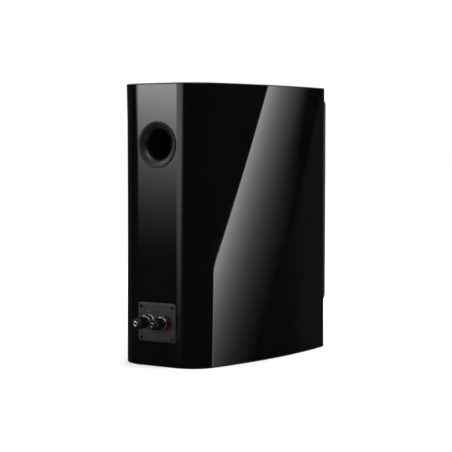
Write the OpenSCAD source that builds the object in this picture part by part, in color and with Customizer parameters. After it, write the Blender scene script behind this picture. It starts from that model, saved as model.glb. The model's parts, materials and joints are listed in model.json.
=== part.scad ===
// Two-way bookshelf speaker with curved sides, a flared rear port and one pair of binding posts.
// Millimetres. +Z is up, the drivers face -Y and the terminals +Y.
// The origin is at the bottom centre of the whole speaker's box.

/* [Cabinet] */
// Height of the cabinet
cabinet_h = 440; // [410:1:520]
// Width of the cabinet at its widest point
cabinet_w = 215; // [211:1:240]
// Depth of the cabinet, from its back to the baffle plate
cabinet_d = 340; // [320:1:400]
// Distance from the back to the widest point
widest_from_back = 240; // [200:1:280]
// Radius of the curved sides, seen from above
side_r = 811; // [700:1:1200]
// Radius of the rear corners, seen from above
rear_corner_r = 47.5; // [42:0.5:50]
// Radius of the front vertical edges
front_edge_r = 3; // [2:0.5:5]
// Rounding of the top and bottom edges
rim_r = 2; // [0.5:0.5:3]
// Thickness of the back and side wall
wall_t = 18; // [15:1:20]
// Thickness of the top and bottom panels
panel_t = 18; // [15:1:22]
// Thickness of the wooden front behind the baffle plate
front_panel_t = 22; // [18:1:25]
// Thickness of the two window braces
brace_t = 12; // [9:1:15]
// Width of a brace's frame around its window
brace_frame_w = 14; // [12:1:20]
// Distance from the top of the cabinet to the lower brace's underside
lower_brace_drop = 354; // [352:1:360]
// Distance from the top of the cabinet to the upper brace's underside
upper_brace_drop = 164; // [156:1:172]
// Thickness of the wadding on the side walls
wadding_t = 20; // [10:1:25]

/* [Baffle plate] */
// Width of the baffle plate
baffle_w = 192; // [188:1:194]
// Height of the baffle plate
baffle_h = 356; // [350:1:370]
// Thickness of the baffle plate
baffle_t = 14; // [12:1:20]
// Corner radius of the baffle plate
baffle_corner_r = 18; // [8:1:24]
// Chamfer along the front edge of the baffle plate
baffle_chamfer = 1.5; // [0.5:0.5:2.5]
// Distance from the top of the cabinet to the top of the plate
baffle_top_gap = 12; // [5:1:18]

/* [Woofer] */
// Distance from the top of the baffle plate to the woofer's axis
woofer_drop = 252; // [248:1:256]
// Outer radius of the woofer's flange
woofer_flange_r = 90; // [89:0.5:92]
// Thickness of the woofer's flange
woofer_flange_t = 6; // [5:0.5:8]
// Outer radius of the basket behind the flange
basket_r = 77; // [75:0.5:78]
// Depth of the basket, from the flange's seat to the magnet
basket_h = 56; // [54:1:64]
// How far the trim ring stands out of the baffle plate
trim_proud = 4; // [2:0.5:6]
// Radius of the cone at its outer edge
cone_r = 62; // [60:0.5:63]
// Depth of the cone, from its rim to its neck
cone_h = 14; // [10:0.5:16]
// Radius of the central dome
dust_dome_r = 41; // [40:0.5:46]
// Height of the central dome
dust_dome_h = 12; // [8:0.5:14]
// Inner radius of the woofer's voice coil
woofer_coil_r = 37.5; // [36:0.5:38]
// Outer radius of the woofer's magnet
woofer_magnet_r = 66; // [62:0.5:68]
// Thickness of the woofer's magnet
woofer_magnet_t = 16; // [14:0.5:22]

/* [Tweeter] */
// Distance from the top of the baffle plate to the tweeter's axis
tweeter_drop = 80; // [74:1:86]
// Radius of the tweeter's faceplate
faceplate_r = 55; // [50:0.5:58]
// Thickness of the tweeter's faceplate
faceplate_t = 5; // [4:0.5:6]
// Radius of the tweeter's dome
tweeter_dome_r = 14; // [13:0.5:15]
// Height of the tweeter's dome
tweeter_dome_h = 4.6; // [3.5:0.1:6]
// Outer radius of the tweeter's magnet
tweeter_magnet_r = 36; // [32:0.5:38]
// Depth of the chamber behind the tweeter's magnet
rear_chamber_l = 35; // [20:1:50]

/* [Port] */
// Distance from the top of the cabinet to the port's axis
port_drop = 95; // [90:1:100]
// Outer radius of the port's flare
flare_r = 36; // [33:0.5:38]
// Inner radius of the port tube
throat_r = 22.5; // [20:0.5:24]
// Length of the port, from the back of the cabinet
port_l = 150; // [110:1:180]
// Wall of the port tube
port_wall_t = 2.5; // [2:0.5:3]

/* [Terminals] */
// Height of the terminal plate's centre
terminal_z = 69.4; // [66:0.1:71]
// Width of the terminal plate
plate_w = 71; // [68:0.5:74]
// Height of the terminal plate
plate_h = 60.5; // [59:0.5:66]
// Thickness of the terminal plate
plate_t = 2.5; // [2:0.5:4]
// Corner radius of the terminal plate
plate_corner_r = 4; // [2:0.5:6]
// Distance between the plate's screws, side to side
plate_screw_dx = 60; // [59:0.5:61]
// Distance between the plate's screws, up and down
plate_screw_dz = 48.7; // [47:0.1:50]
// Distance between the two binding posts
post_dx = 31.5; // [30:0.5:34]
// Length of a binding post outside the plate
post_l = 34.5; // [32:0.5:40]
// Radius of a post's metal stud
stud_r = 4.65; // [4:0.05:5]
// Radius of the 4 mm plug socket in a stud
socket_r = 2.03; // [2:0.01:2.2]
// Depth of the plug socket
socket_l = 20; // [15:1:22]
// Radius of a post's coloured collar
collar_r = 11.8; // [11:0.1:12.5]
// Length of a post's coloured collar
collar_l = 6; // [4:0.5:7]
// Radius of a post's knob at its inner end
knob_r = 9.7; // [9:0.1:10.5]
// Length of a post's knob
knob_l = 20.5; // [18:0.5:21]

/* [Crossover] */
// Width of the crossover board
board_w = 120; // [116:1:130]
// Depth of the crossover board
board_d = 160; // [156:1:170]
// Height of the board's standoffs
standoff_h = 8; // [5:1:12]

/* [Stand fixing] */
// Distance between the threaded inserts, side to side
insert_dx = 120; // [100:1:130]
// Distance between the threaded inserts, front to back
insert_dy = 200; // [160:1:220]
// Radius of the inserts' thread
insert_hole_r = 2.5; // [2:0.5:4]

/* [Hidden] */
$fn = 96;

// Clearances
slip = 0.3;
glue_gap = 0.1;
running = 0.08;
cut = 1;

// Shape of a screw's head, as shares of its radius and its height
head_taper = 0.72;
socket_floor = 0.4;

// The wadding starts this far behind the front panel
wadding_in = 70;

// The terminal plate sits with its gasket in a shallow recess
gasket_t = 1;
recess_d = 1.5;
plate_proud = gasket_t + plate_t - recess_d;
post_reach = plate_proud + post_l;

// Planes from front to back
front_reach = baffle_t + trim_proud;
y_back = (cabinet_d + front_reach - post_reach) / 2;
y_front = y_back - cabinet_d;
y_face = y_front - baffle_t;
y_plate = y_back + plate_proud;
y_inside = y_front + front_panel_t;
y_mid = (y_front + y_back) / 2;
z_ceiling = cabinet_h - panel_t;

// Heights that hang from the top of the cabinet and of the baffle plate
baffle_top_z = cabinet_h - baffle_top_gap;
woofer_z = baffle_top_z - woofer_drop;
tweeter_z = baffle_top_z - tweeter_drop;
port_z = cabinet_h - port_drop;
upper_brace_z = cabinet_h - upper_brace_drop;
lower_brace_z = cabinet_h - lower_brace_drop;

// Centres of the arcs that make the cabinet's outline
side_c = [cabinet_w / 2 - side_r, y_back - widest_from_back];
rear_c_y = y_back - rear_corner_r;
rear_c = [tangent_x(rear_corner_r, rear_c_y), rear_c_y];
front_c_y = y_front + front_edge_r;
front_c = [tangent_x(front_edge_r, front_c_y), front_c_y];
rear_a = angle_of(rear_c - side_c);
front_a = angle_of(front_c - side_c);
side_steps = 16;
corner_steps = 14;
edge_steps = 4;

// Woofer, measured along its axis from the flange's seat, forwards positive
ledge_d = 4;
ledge_w = 2.5;
ledge_z = woofer_flange_t - ledge_d;
foot_t = 1;
bowl_t = 4;
bowl_in_r = basket_r - bowl_t;
ledge_r = basket_r + ledge_w;
mouth_h = 13;
magnet_seat_r = 63;
shelf_z = -38;
shelf_r = 54;
basket_wall_t = 3;
shelf_wall_r = magnet_seat_r - basket_wall_t;
seat_drop = 2;
basket_floor_t = 6;
basket_hole_r = 44;
window_count = 6;
window_a = 40;
window_margin = 3;
trim_in_r = bowl_in_r + foot_t + slip;
trim_lap = 2.5;
trim_edge = 1.5;
trim_bevel_w = 2.5;
trim_bevel_h = 3;
trim_out_r = ledge_r + trim_lap;
woofer_screw_r = (trim_out_r + woofer_flange_r) / 2;
woofer_screw_count = 8;
woofer_screw_a = 180 / woofer_screw_count;
woofer_screw = [3.1, 2.6, 2, 10, 3];
woofer_head_d = 3;
woofer_pilot_r = 2.1;
woofer_hole_r = 2.3;
woofer_bore_r = 3.4;
cone_t = 0.8;
rim_w = 2.5;
rim_z = ledge_z - glue_gap;
neck_z = rim_z - cone_h;
former_t = 0.4;
former_rise = 2;
winding_t = 0.8;
winding_l = 16;
coil_clear = 0.6;
neck_r = woofer_coil_r + former_t;
gap_r = neck_r + winding_t + coil_clear;
pole_r = woofer_coil_r - coil_clear;
top_plate_t = 8;
back_plate_t = 8;
woofer_plate_r = magnet_seat_r - 1;
magnet_z = -basket_h - top_plate_t;
back_plate_z = magnet_z - woofer_magnet_t;
woofer_rear_z = back_plate_z - back_plate_t;
woofer_vent_r = 12;
magnet_gap = 5;
pole_rise = 1;
yoke_edge = 2;
roll_w = bowl_in_r - cone_r;
roll_c = [(bowl_in_r + cone_r) / 2, ledge_z];
rim_lap = 0.5;
dome_t = 0.6;
spider_waves = 3;
spider_depth = 1.6;
spider_t = 0.6;
baffle_clear = 1;
panel_clear = 7;
baffle_woofer_r = basket_r + baffle_clear;
panel_woofer_r = basket_r + panel_clear;

// Tweeter, measured in the same way
magnet_clear = 4;
tweeter_hole_r = tweeter_magnet_r + magnet_clear;
tweeter_plate_t = 5;
tweeter_magnet_t = 10;
tweeter_yoke_t = 5;
tweeter_clear = 0.5;
tweeter_former_t = 0.4;
tweeter_gap_r = tweeter_dome_r + tweeter_former_t + tweeter_clear;
tweeter_pole_r = tweeter_dome_r - tweeter_clear;
tweeter_vent_r = 5;
tweeter_coil_drop = 1.5;
tweeter_pole_z = -0.5;
tweeter_roll_r = 1.6;
tweeter_foot_t = 0.4;
tweeter_foot_w = 0.7;
horn_in_r = tweeter_dome_r + tweeter_former_t + glue_gap + 2 * tweeter_roll_r + tweeter_foot_t;
horn_rim_w = 14;
horn_out_r = faceplate_r - horn_rim_w;
horn_edge_t = 1.8;
faceplate_edge = 0.8;
tweeter_dome_z = 1;
tweeter_dome_t = 0.4;
tweeter_screw_in = 6;
tweeter_screw_r = faceplate_r - tweeter_screw_in;
tweeter_screw_count = 4;
tweeter_screw_a = 180 / tweeter_screw_count;
tweeter_screw = [2.9, 2.1, 1.5, 10, 2.5];
tweeter_head_d = 2.4;
tweeter_pilot_r = 1.6;
tweeter_screw_hole_r = 1.8;
tweeter_bore_r = 3.2;
yoke_rear_z = -tweeter_plate_t - tweeter_magnet_t - tweeter_yoke_t;
chamber_wall_t = 4;
chamber_edge = 3;
chamber_rear_z = yoke_rear_z - rear_chamber_l;

// The terminal strip on each driver
strip_w = 22;
strip_d = 9;
strip_t = 1.6;
eyelet_dx = 14;
eyelet_in = 3;
eyelet_r = 1;
strip_lap = 1.5;
strip_rise = 2;

// Port, measured along its axis from the back of the cabinet, outwards positive
flare_lip_t = 4;
flare_bend = flare_r - throat_r;
sleeve_wall_t = 3;
sleeve_r = throat_r + port_wall_t + sleeve_wall_t;
sleeve_l = 34;
socket_margin = 4;
socket_z = -flare_bend - socket_margin;
inner_flare_in = 2;
inner_lip_t = 3;
inner_flare_r = flare_r - inner_flare_in;
inner_bend = inner_flare_r - throat_r;

// Binding posts, measured from the terminal plate's face, outwards positive
sleeve_post_r = 8.6;
sleeve_post_l = 3;
clamp_gap = 0.3;
clamp_z = collar_l + sleeve_post_l + clamp_gap;
clamp_t = 1.5;
clamp_lap = 0.4;
clamp_r = knob_r + clamp_lap;
clamp_edge = 0.4;
knob_z = clamp_z + clamp_t + glue_gap;
knob_taper = 1.1;
knob_round = 1.5;
flute_count = 12;
flute_r = 1.4;
flute_out = 0.49;
flute_start = 3;
stud_edge = 0.6;
bush_wall_t = 1.2;
stud_hole_r = stud_r + bush_wall_t;
bush_r = 9.5;
bush_l = 2;
nut_r = 8;
nut_t = 4.5;
thread_fit = 0.02;
tag_t = 0.8;
tag_r = 7.5;
tag_w = 5;
tag_l = 16;
tag_hole_r = 1.2;
stud_spare = 3;
stud_inside = plate_t + bush_l + nut_t + tag_t + stud_spare;
cutout_margin = 11;
cutout_w = post_dx + 2 * cutout_margin;
cutout_h = 36;
plate_hole_r = 2;
plate_pilot_r = 1.8;
plate_pilot_l = 10;
plate_screw = [3.1, 1.8, 1.7, 11, 2];

// Crossover
board_t = 1.6;
board_in = 18;
board_y = y_inside + board_in + board_d / 2;
board_z = panel_t + standoff_h;
board_top = board_z + board_t;
standoff_in = 6;
standoff_dx = board_w - 2 * standoff_in;
standoff_dy = board_d - 2 * standoff_in;
standoff_r = 4;
cap_nut_r = 3.4;
cap_nut_t = 2;
hole_r = 2;
coil_r = 24;
coil_in_r = 11;
coil_h = 22;
coil_side = 4;
coil_end = 16;
small_coil_r = 16;
small_coil_in_r = 8;
small_coil_h = 16;
small_coil_side = 20;
small_coil_end = 34;
capacitor_side = 14;
capacitor_gap = 2;
capacitor_y = 20;
resistor_x = 14;
resistor_y = 18;
resistor_gap = 5;
capacitor_r = 9;
capacitor_l = 36;
capacitor_pitch = 2 * capacitor_r + capacitor_gap;
resistor_w = 9;
resistor_l = 22;
wire_r = 1.3;
wire_rings = 14;
wire_sides = 6;
wire_pair = 4;
wire_lift = 0.8;
insert_r = 5;
insert_l = 12;
insert_spare = 0.5;

// Horizontal distance to a corner arc's centre, for an arc of radius r that is tangent to the side
function tangent_x(r, y) = side_c.x + sqrt(pow(side_r - r, 2) - pow(y - side_c.y, 2));
function angle_of(v) = atan2(v.y, v.x);

// Points along an arc
function arc(c, r, from, to, steps) =
    [for (k = [0:steps]) let (a = from + (to - from) * k / steps) c + r * [cos(a), sin(a)]];
function mirrored(points) = [for (k = [len(points) - 1:-1:0]) [-points[k].x, points[k].y]];

// Half of the cabinet's outline seen from above, moved inwards, from front to back
function outer_half(inset) = concat(
    arc(front_c, front_edge_r - inset, -90, front_a, edge_steps),
    arc(side_c, side_r - inset, front_a, rear_a, side_steps),
    arc(rear_c, rear_corner_r - inset, rear_a, 90, corner_steps));

// The same for the space inside the wall, cut off straight at the plane y
function inner_half(inset, y) = concat(
    arc(side_c, side_r - inset, asin((y - side_c.y) / (side_r - inset)), rear_a, side_steps),
    arc(rear_c, rear_corner_r - inset, rear_a, 90, corner_steps));

module closed_outline(half) {
    polygon(concat(half, mirrored(half)));
}

module outer_plan(inset = 0) {
    closed_outline(outer_half(inset));
}

// The part of the outline between two planes
module outer_between(y_from, y_to) {
    intersection() {
        outer_plan();
        translate([-cabinet_w / 2 - cut, y_from])
            square([cabinet_w + 2 * cut, y_to - y_from]);
    }
}

module inner_plan(inset, y) {
    closed_outline(inner_half(inset, y));
}

// A driver's own frame: its axis is +Z, pointing out of the front, and its flange is seated at z = 0
module at_driver(height, seat_depth) {
    translate([0, y_face + seat_depth, height])
        rotate([90, 0, 0])
            children();
}

module at_woofer() {
    at_driver(woofer_z, woofer_flange_t)
        children();
}

module at_tweeter() {
    at_driver(tweeter_z, faceplate_t)
        children();
}

// A frame on the back: +Z points out of the back, x runs as in the cabinet
module at_back(x, y, z) {
    translate([x, y, z])
        rotate([-90, 0, 0])
            children();
}

module at_port() {
    at_back(0, y_back, port_z)
        children();
}

module at_post(side) {
    at_back(side * post_dx / 2, y_plate, terminal_z)
        children();
}

// Children once around an axis for each of count places
module around(count, radius, offset = 0) {
    for (k = [0:count - 1])
        rotate([0, 0, offset + k * 360 / count])
            translate([radius, 0, 0])
                children();
}

// Children at the four corners of a rectangle
module at_corners(dx, dy) {
    for (x = [-dx / 2, dx / 2], y = [-dy / 2, dy / 2])
        translate([x, y, 0])
            children();
}

module ring(r_out, r_in, z_from, z_to) {
    translate([0, 0, z_from])
        difference() {
            cylinder(r = r_out, h = z_to - z_from);
            translate([0, 0, -cut])
                cylinder(r = r_in, h = z_to - z_from + 2 * cut);
        }
}

module disc(r, z_from, z_to) {
    translate([0, 0, z_from])
        cylinder(r = r, h = z_to - z_from);
}

// ---- Cabinet ----

module cabinet_shell() {
    color([0.02, 0.02, 0.022])
        difference() {
            translate([0, 0, panel_t])
                linear_extrude(z_ceiling - panel_t)
                    difference() {
                        outer_between(y_inside, y_back);
                        inner_plan(wall_t, y_inside - cut);
                    }
            at_woofer()
                disc(panel_woofer_r, -basket_h, 0);
            at_port() {
                disc(sleeve_r + slip, -wall_t - cut, cut);
                disc(flare_r + slip, -flare_lip_t, cut);
            }
            at_back(0, y_back - recess_d, terminal_z) {
                plate_shape(slip, 0, recess_d + cut);
                translate([-cutout_w / 2, -cutout_h / 2, -wall_t - cut])
                    cube([cutout_w, cutout_h, wall_t + recess_d + cut]);
                at_corners(plate_screw_dx, plate_screw_dz)
                    disc(plate_pilot_r, -plate_pilot_l, cut);
            }
        }
}

// An end panel with its outer rim rounded; the rounding is at the top
module end_panel() {
    rounding = [for (a = [0:30:90]) a];
    hull() {
        linear_extrude(panel_t - rim_r)
            outer_plan();
        for (a = rounding)
            translate([0, 0, panel_t - rim_r + rim_r * sin(a) - 0.01])
                linear_extrude(0.01)
                    outer_plan(rim_r * (1 - cos(a)));
    }
}

module top_panel() {
    color([0.02, 0.02, 0.022])
        translate([0, 0, z_ceiling])
            end_panel();
}

module bottom_panel() {
    color([0.02, 0.02, 0.022])
        difference() {
            translate([0, 0, panel_t])
                mirror([0, 0, 1])
                    end_panel();
            at_inserts()
                disc(insert_r, -cut, insert_l + insert_spare);
        }
}

module at_inserts() {
    translate([0, y_mid, 0])
        at_corners(insert_dx, insert_dy)
            children();
}

module stand_inserts() {
    color([0.72, 0.58, 0.3])
        at_inserts()
            ring(insert_r, insert_hole_r, 0, insert_l);
}

module front_panel() {
    color([0.02, 0.02, 0.022])
        difference() {
            translate([0, 0, panel_t])
                linear_extrude(z_ceiling - panel_t)
                    outer_between(y_front, y_inside);
            at_woofer()
                disc(panel_woofer_r, -baffle_t - front_panel_t - cut, cut);
            at_tweeter()
                disc(tweeter_hole_r, -baffle_t - front_panel_t - cut, cut);
        }
}

module window_brace(z) {
    color([0.62, 0.48, 0.34])
        translate([0, 0, z])
            linear_extrude(brace_t)
                difference() {
                    inner_plan(wall_t + glue_gap, y_inside);
                    inner_plan(wall_t + brace_frame_w, y_inside + brace_frame_w);
                }
}

module upper_brace() {
    window_brace(upper_brace_z);
}

module lower_brace() {
    window_brace(lower_brace_z);
}

// A pad on each side wall, between the braces and behind the woofer's magnet
module acoustic_wadding() {
    low = lower_brace_z + brace_t + slip;
    high = upper_brace_z - slip;
    color([0.82, 0.82, 0.8])
        translate([0, 0, low])
            linear_extrude(high - low)
                intersection() {
                    difference() {
                        inner_plan(wall_t + slip, y_inside);
                        inner_plan(wall_t + wadding_t, y_inside - cut);
                    }
                    for (side = [0, 1])
                        mirror([side, 0])
                            translate([cabinet_w / 4, y_inside + wadding_in])
                                square([cabinet_w / 2, rear_c.y - y_inside - wadding_in]);
                }
}

// ---- Baffle plate ----

module baffle_plate() {
    corner_x = baffle_w / 2 - baffle_corner_r;
    corner_z = baffle_h / 2 - baffle_corner_r;
    plate_mid_z = baffle_top_z - baffle_h / 2;
    color([0.1, 0.1, 0.105])
        difference() {
            translate([0, y_front, plate_mid_z])
                rotate([90, 0, 0])
                    hull()
                        at_corners(2 * corner_x, 2 * corner_z) {
                            cylinder(r = baffle_corner_r, h = baffle_t - baffle_chamfer, $fn = 64);
                            translate([0, 0, baffle_t - baffle_chamfer])
                                cylinder(r1 = baffle_corner_r, r2 = baffle_corner_r - baffle_chamfer,
                                    h = baffle_chamfer, $fn = 64);
                        }
            at_woofer() {
                disc(baffle_woofer_r, -baffle_t, cut);
                disc(woofer_flange_r + slip, 0, woofer_flange_t + cut);
                around(woofer_screw_count, woofer_screw_r, woofer_screw_a)
                    disc(woofer_pilot_r, -baffle_t, cut);
            }
            at_tweeter() {
                disc(tweeter_hole_r, -baffle_t, cut);
                disc(faceplate_r + slip, 0, faceplate_t + cut);
                around(tweeter_screw_count, tweeter_screw_r, tweeter_screw_a)
                    disc(tweeter_pilot_r, -baffle_t, cut);
            }
        }
}

// ---- Port ----

// The flare's section: radius across, axis upwards, with the rounded lip at the top
module flare_section(lip_r, bend, lip_t, sleeve_out_r, length) {
    polygon(concat(
        arc([lip_r, -bend], bend, 90, 180, 10),
        [[throat_r, socket_z],
            [throat_r + port_wall_t + glue_gap, socket_z],
            [throat_r + port_wall_t + glue_gap, -length],
            [sleeve_out_r, -length],
            [sleeve_out_r, -lip_t],
            [lip_r, -lip_t]]));
}

module port_flare() {
    color([0.06, 0.06, 0.062])
        at_port()
            rotate_extrude()
                flare_section(flare_r, flare_bend, flare_lip_t, sleeve_r, sleeve_l);
}

module port_tube() {
    color([0.05, 0.05, 0.05])
        at_port()
            ring(throat_r + port_wall_t, throat_r, -port_l - socket_z, socket_z);
}

module port_inner_flare() {
    color([0.05, 0.05, 0.05])
        at_port()
            translate([0, 0, -port_l])
                mirror([0, 0, 1])
                    rotate_extrude()
                        flare_section(inner_flare_r, inner_bend, inner_lip_t, sleeve_r, sleeve_l);
}

// ---- Terminals ----

module plate_shape(grow, z_from, z_to) {
    r = plate_corner_r + grow;
    translate([0, 0, z_from])
        linear_extrude(z_to - z_from)
            union() {
                square([plate_w - 2 * plate_corner_r, plate_h + 2 * grow], center = true);
                square([plate_w + 2 * grow, plate_h - 2 * plate_corner_r], center = true);
                at_corners(plate_w - 2 * plate_corner_r, plate_h - 2 * plate_corner_r)
                    circle(r = r);
            }
}

module terminal_plate() {
    color([0.17, 0.17, 0.18])
        at_back(0, y_plate, terminal_z)
            difference() {
                plate_shape(0, -plate_t, 0);
                at_corners(plate_screw_dx, plate_screw_dz)
                    disc(plate_hole_r, -plate_t - cut, cut);
                at_corners(post_dx, 0)
                    disc(stud_hole_r, -plate_t - cut, cut);
            }
}

module terminal_gasket() {
    color([0.04, 0.04, 0.04])
        at_back(0, y_plate - plate_t, terminal_z)
            difference() {
                plate_shape(0, -gasket_t, 0);
                translate([-cutout_w / 2, -cutout_h / 2, -gasket_t - cut])
                    cube([cutout_w, cutout_h, gasket_t + 2 * cut]);
                at_corners(plate_screw_dx, plate_screw_dz)
                    disc(plate_hole_r, -gasket_t - cut, cut);
            }
}

// A screw with a tapered head and a hexagon socket, seated at z = 0.
// Its sizes are the head's radius and height, the shank's radius and length and the socket's width.
module screw(sizes) {
    head_r = sizes[0];
    head_h = sizes[1];
    difference() {
        union() {
            cylinder(r1 = head_r, r2 = head_r * head_taper, h = head_h, $fn = 24);
            disc(sizes[2], -sizes[3], 0, $fn = 24);
        }
        translate([0, 0, head_h * socket_floor])
            cylinder(r = sizes[4] / sqrt(3), h = head_h, $fn = 6);
    }
}

module terminal_screws() {
    color([0.03, 0.03, 0.03])
        at_back(0, y_plate, terminal_z)
            at_corners(plate_screw_dx, plate_screw_dz)
                screw(plate_screw);
}

module collar() {
    ring(collar_r, stud_r + glue_gap, 0, collar_l);
}

module negative_collar() {
    color([0.75, 0.75, 0.75])
        at_post(1)
            collar();
}

module positive_collar() {
    color([0.6, 0.03, 0.03])
        at_post(-1)
            collar();
}

module post_sleeves() {
    color([0.03, 0.03, 0.03])
        for (side = [-1, 1])
            at_post(side)
                ring(sleeve_post_r, stud_r + glue_gap, collar_l, collar_l + sleeve_post_l);
}

module stud() {
    difference() {
        union() {
            disc(stud_r, -stud_inside, post_l - stud_edge);
            translate([0, 0, post_l - stud_edge])
                cylinder(r1 = stud_r, r2 = stud_r - stud_edge, h = stud_edge);
        }
        disc(socket_r, post_l - socket_l, post_l + cut);
    }
}

module negative_stud() {
    color([0.85, 0.85, 0.86])
        at_post(1)
            stud();
}

module positive_stud() {
    color([0.75, 0.45, 0.38])
        at_post(-1)
            stud();
}

module clamp_ring() {
    rotate_extrude()
        polygon([[stud_r + running, clamp_z], [clamp_r, clamp_z], [clamp_r, clamp_z + clamp_t - clamp_edge],
            [clamp_r - clamp_edge, clamp_z + clamp_t], [stud_r + running, clamp_z + clamp_t]]);
}

module negative_clamp_ring() {
    color([0.85, 0.85, 0.86])
        at_post(1)
            clamp_ring();
}

module positive_clamp_ring() {
    color([0.85, 0.85, 0.86])
        at_post(-1)
            clamp_ring();
}

// A tapered knob with grip flutes and a rounded outer end
module knob() {
    end_r = knob_r - knob_taper;
    difference() {
        rotate_extrude()
            polygon(concat(
                [[stud_r + running, knob_z], [knob_r, knob_z]],
                arc([end_r - knob_round, knob_z + knob_l - knob_round], knob_round, 0, 90, 4),
                [[stud_r + running, knob_z + knob_l]]));
        around(flute_count, knob_r + flute_out)
            translate([0, 0, knob_z + flute_start])
                rotate([0, -atan(knob_taper / knob_l), 0])
                    cylinder(r = flute_r, h = knob_l, $fn = 24);
    }
}

module negative_knob() {
    color([0.02, 0.02, 0.02])
        at_post(1)
            knob();
}

module positive_knob() {
    color([0.02, 0.02, 0.02])
        at_post(-1)
            knob();
}

// A flanged bush that keeps each stud clear of the metal plate
module post_insulators() {
    color([0.8, 0.8, 0.78])
        for (side = [-1, 1])
            at_post(side) {
                ring(stud_hole_r - glue_gap, stud_r + glue_gap, -plate_t, 0);
                ring(bush_r, stud_r + glue_gap, -plate_t - bush_l, -plate_t);
            }
}

module post_nuts() {
    top = -plate_t - bush_l;
    color([0.72, 0.58, 0.3])
        for (side = [-1, 1])
            at_post(side)
                difference() {
                    translate([0, 0, top - nut_t])
                        cylinder(r = nut_r, h = nut_t, $fn = 6);
                    disc(stud_r + thread_fit, top - nut_t - cut, top + cut);
                }
}

module solder_tags() {
    top = -plate_t - bush_l - nut_t;
    color([0.8, 0.78, 0.7])
        for (side = [-1, 1])
            at_post(side)
                translate([0, 0, top - tag_t])
                    linear_extrude(tag_t)
                        difference() {
                            union() {
                                circle(r = tag_r);
                                translate([-tag_w / 2, 0])
                                    square([tag_w, tag_l]);
                            }
                            circle(r = stud_r + thread_fit);
                            translate([0, tag_l - tag_w / 2])
                                circle(r = tag_hole_r);
                        }
}

// ---- Woofer ----

module woofer_basket() {
    color([0.08, 0.08, 0.085])
        at_woofer()
            difference() {
                rotate_extrude()
                    polygon([[bowl_in_r, ledge_z], [ledge_r, ledge_z], [ledge_r, woofer_flange_t],
                        [woofer_flange_r, woofer_flange_t], [woofer_flange_r, 0], [basket_r, 0],
                        [basket_r, -mouth_h], [magnet_seat_r, shelf_z - seat_drop],
                        [magnet_seat_r, -basket_h],
                        [basket_hole_r, -basket_h], [basket_hole_r, basket_floor_t - basket_h],
                        [shelf_r, basket_floor_t - basket_h], [shelf_r, shelf_z],
                        [shelf_wall_r, shelf_z], [bowl_in_r, -mouth_h]]);
                for (k = [0:window_count - 1])
                    rotate([0, 0, k * 360 / window_count - window_a / 2])
                        rotate_extrude(angle = window_a)
                            translate([shelf_r, shelf_z + window_margin])
                                square([basket_r, -mouth_h - shelf_z - window_margin - seat_drop]);
                around(woofer_screw_count, woofer_screw_r, woofer_screw_a) {
                    disc(woofer_hole_r, -cut, woofer_flange_t + cut);
                    disc(woofer_bore_r, woofer_flange_t - woofer_head_d, woofer_flange_t + cut);
                }
            }
}

module woofer_trim_ring() {
    top = woofer_flange_t + trim_proud;
    seat = ledge_z + foot_t;
    color([0.06, 0.06, 0.06])
        at_woofer()
            rotate_extrude()
                polygon([[trim_in_r, seat], [ledge_r - slip, seat], [ledge_r - slip, woofer_flange_t],
                    [trim_out_r, woofer_flange_t], [trim_out_r, top - trim_edge],
                    [trim_out_r - trim_edge, top],
                    [trim_in_r + trim_bevel_w, top], [trim_in_r, top - trim_bevel_h]]);
}

module woofer_screws() {
    color([0.12, 0.12, 0.12])
        at_woofer()
            around(woofer_screw_count, woofer_screw_r, woofer_screw_a)
                translate([0, 0, woofer_flange_t - woofer_head_d])
                    screw(woofer_screw);
}

// Height of the cone's front face at radius r, from its neck to its rim
cone_in_r = neck_r + glue_gap;
cone_span = cone_r - rim_w - cone_in_r;
function cone_z(r) = neck_z + cone_h * pow((r - cone_in_r) / cone_span, 0.75);
cone_front = [for (k = [0:8]) let (r = cone_in_r + cone_span * k / 8) [r, cone_z(r)]];

module woofer_cone() {
    back = [for (k = [len(cone_front) - 1:-1:0]) cone_front[k] - [0, cone_t]];
    lip_r = cone_r + rim_lap;
    color([0.04, 0.04, 0.045])
        at_woofer()
            rotate_extrude()
                polygon(concat(cone_front, [[lip_r, rim_z], [lip_r, rim_z - cone_t]], back));
}

// A shallow cap on the cone: the arc's radius follows from its rim and its height
module cap_section(r, h, t) {
    cap_r = (r * r + h * h) / (2 * h);
    half_a = asin(r / cap_r);
    c = [0, h - cap_r];
    polygon(concat(
        arc(c, cap_r, 90 - half_a, 90, 8),
        arc(c, cap_r - t, 90, 90 - asin(r / cap_r), 8)));
}

module woofer_dust_dome() {
    color([0.04, 0.04, 0.045])
        at_woofer()
            translate([0, 0, cone_z(dust_dome_r) + cone_t])
                rotate_extrude()
                    cap_section(dust_dome_r, dust_dome_h, dome_t);
}

module woofer_voice_coil() {
    winding_mid = -basket_h - top_plate_t / 2;
    low = winding_mid - winding_l / 2;
    color([0.75, 0.42, 0.2])
        at_woofer()
            union() {
                ring(woofer_coil_r + former_t, woofer_coil_r, low, neck_z + former_rise);
                ring(neck_r + winding_t, neck_r - former_t / 2, low, low + winding_l);
            }
}

module woofer_surround() {
    color([0.03, 0.03, 0.03])
        at_woofer()
            rotate_extrude() {
                intersection() {
                    difference() {
                        translate(roll_c)
                            circle(r = roll_w / 2 + foot_t);
                        translate(roll_c)
                            circle(r = roll_w / 2);
                    }
                    translate([roll_c.x - roll_w, ledge_z])
                        square([2 * roll_w, roll_w]);
                }
                translate([cone_r - rim_w, ledge_z])
                    square([rim_w, foot_t]);
                translate([bowl_in_r, ledge_z])
                    square([ledge_r - slip - bowl_in_r, foot_t]);
            }
}

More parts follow.
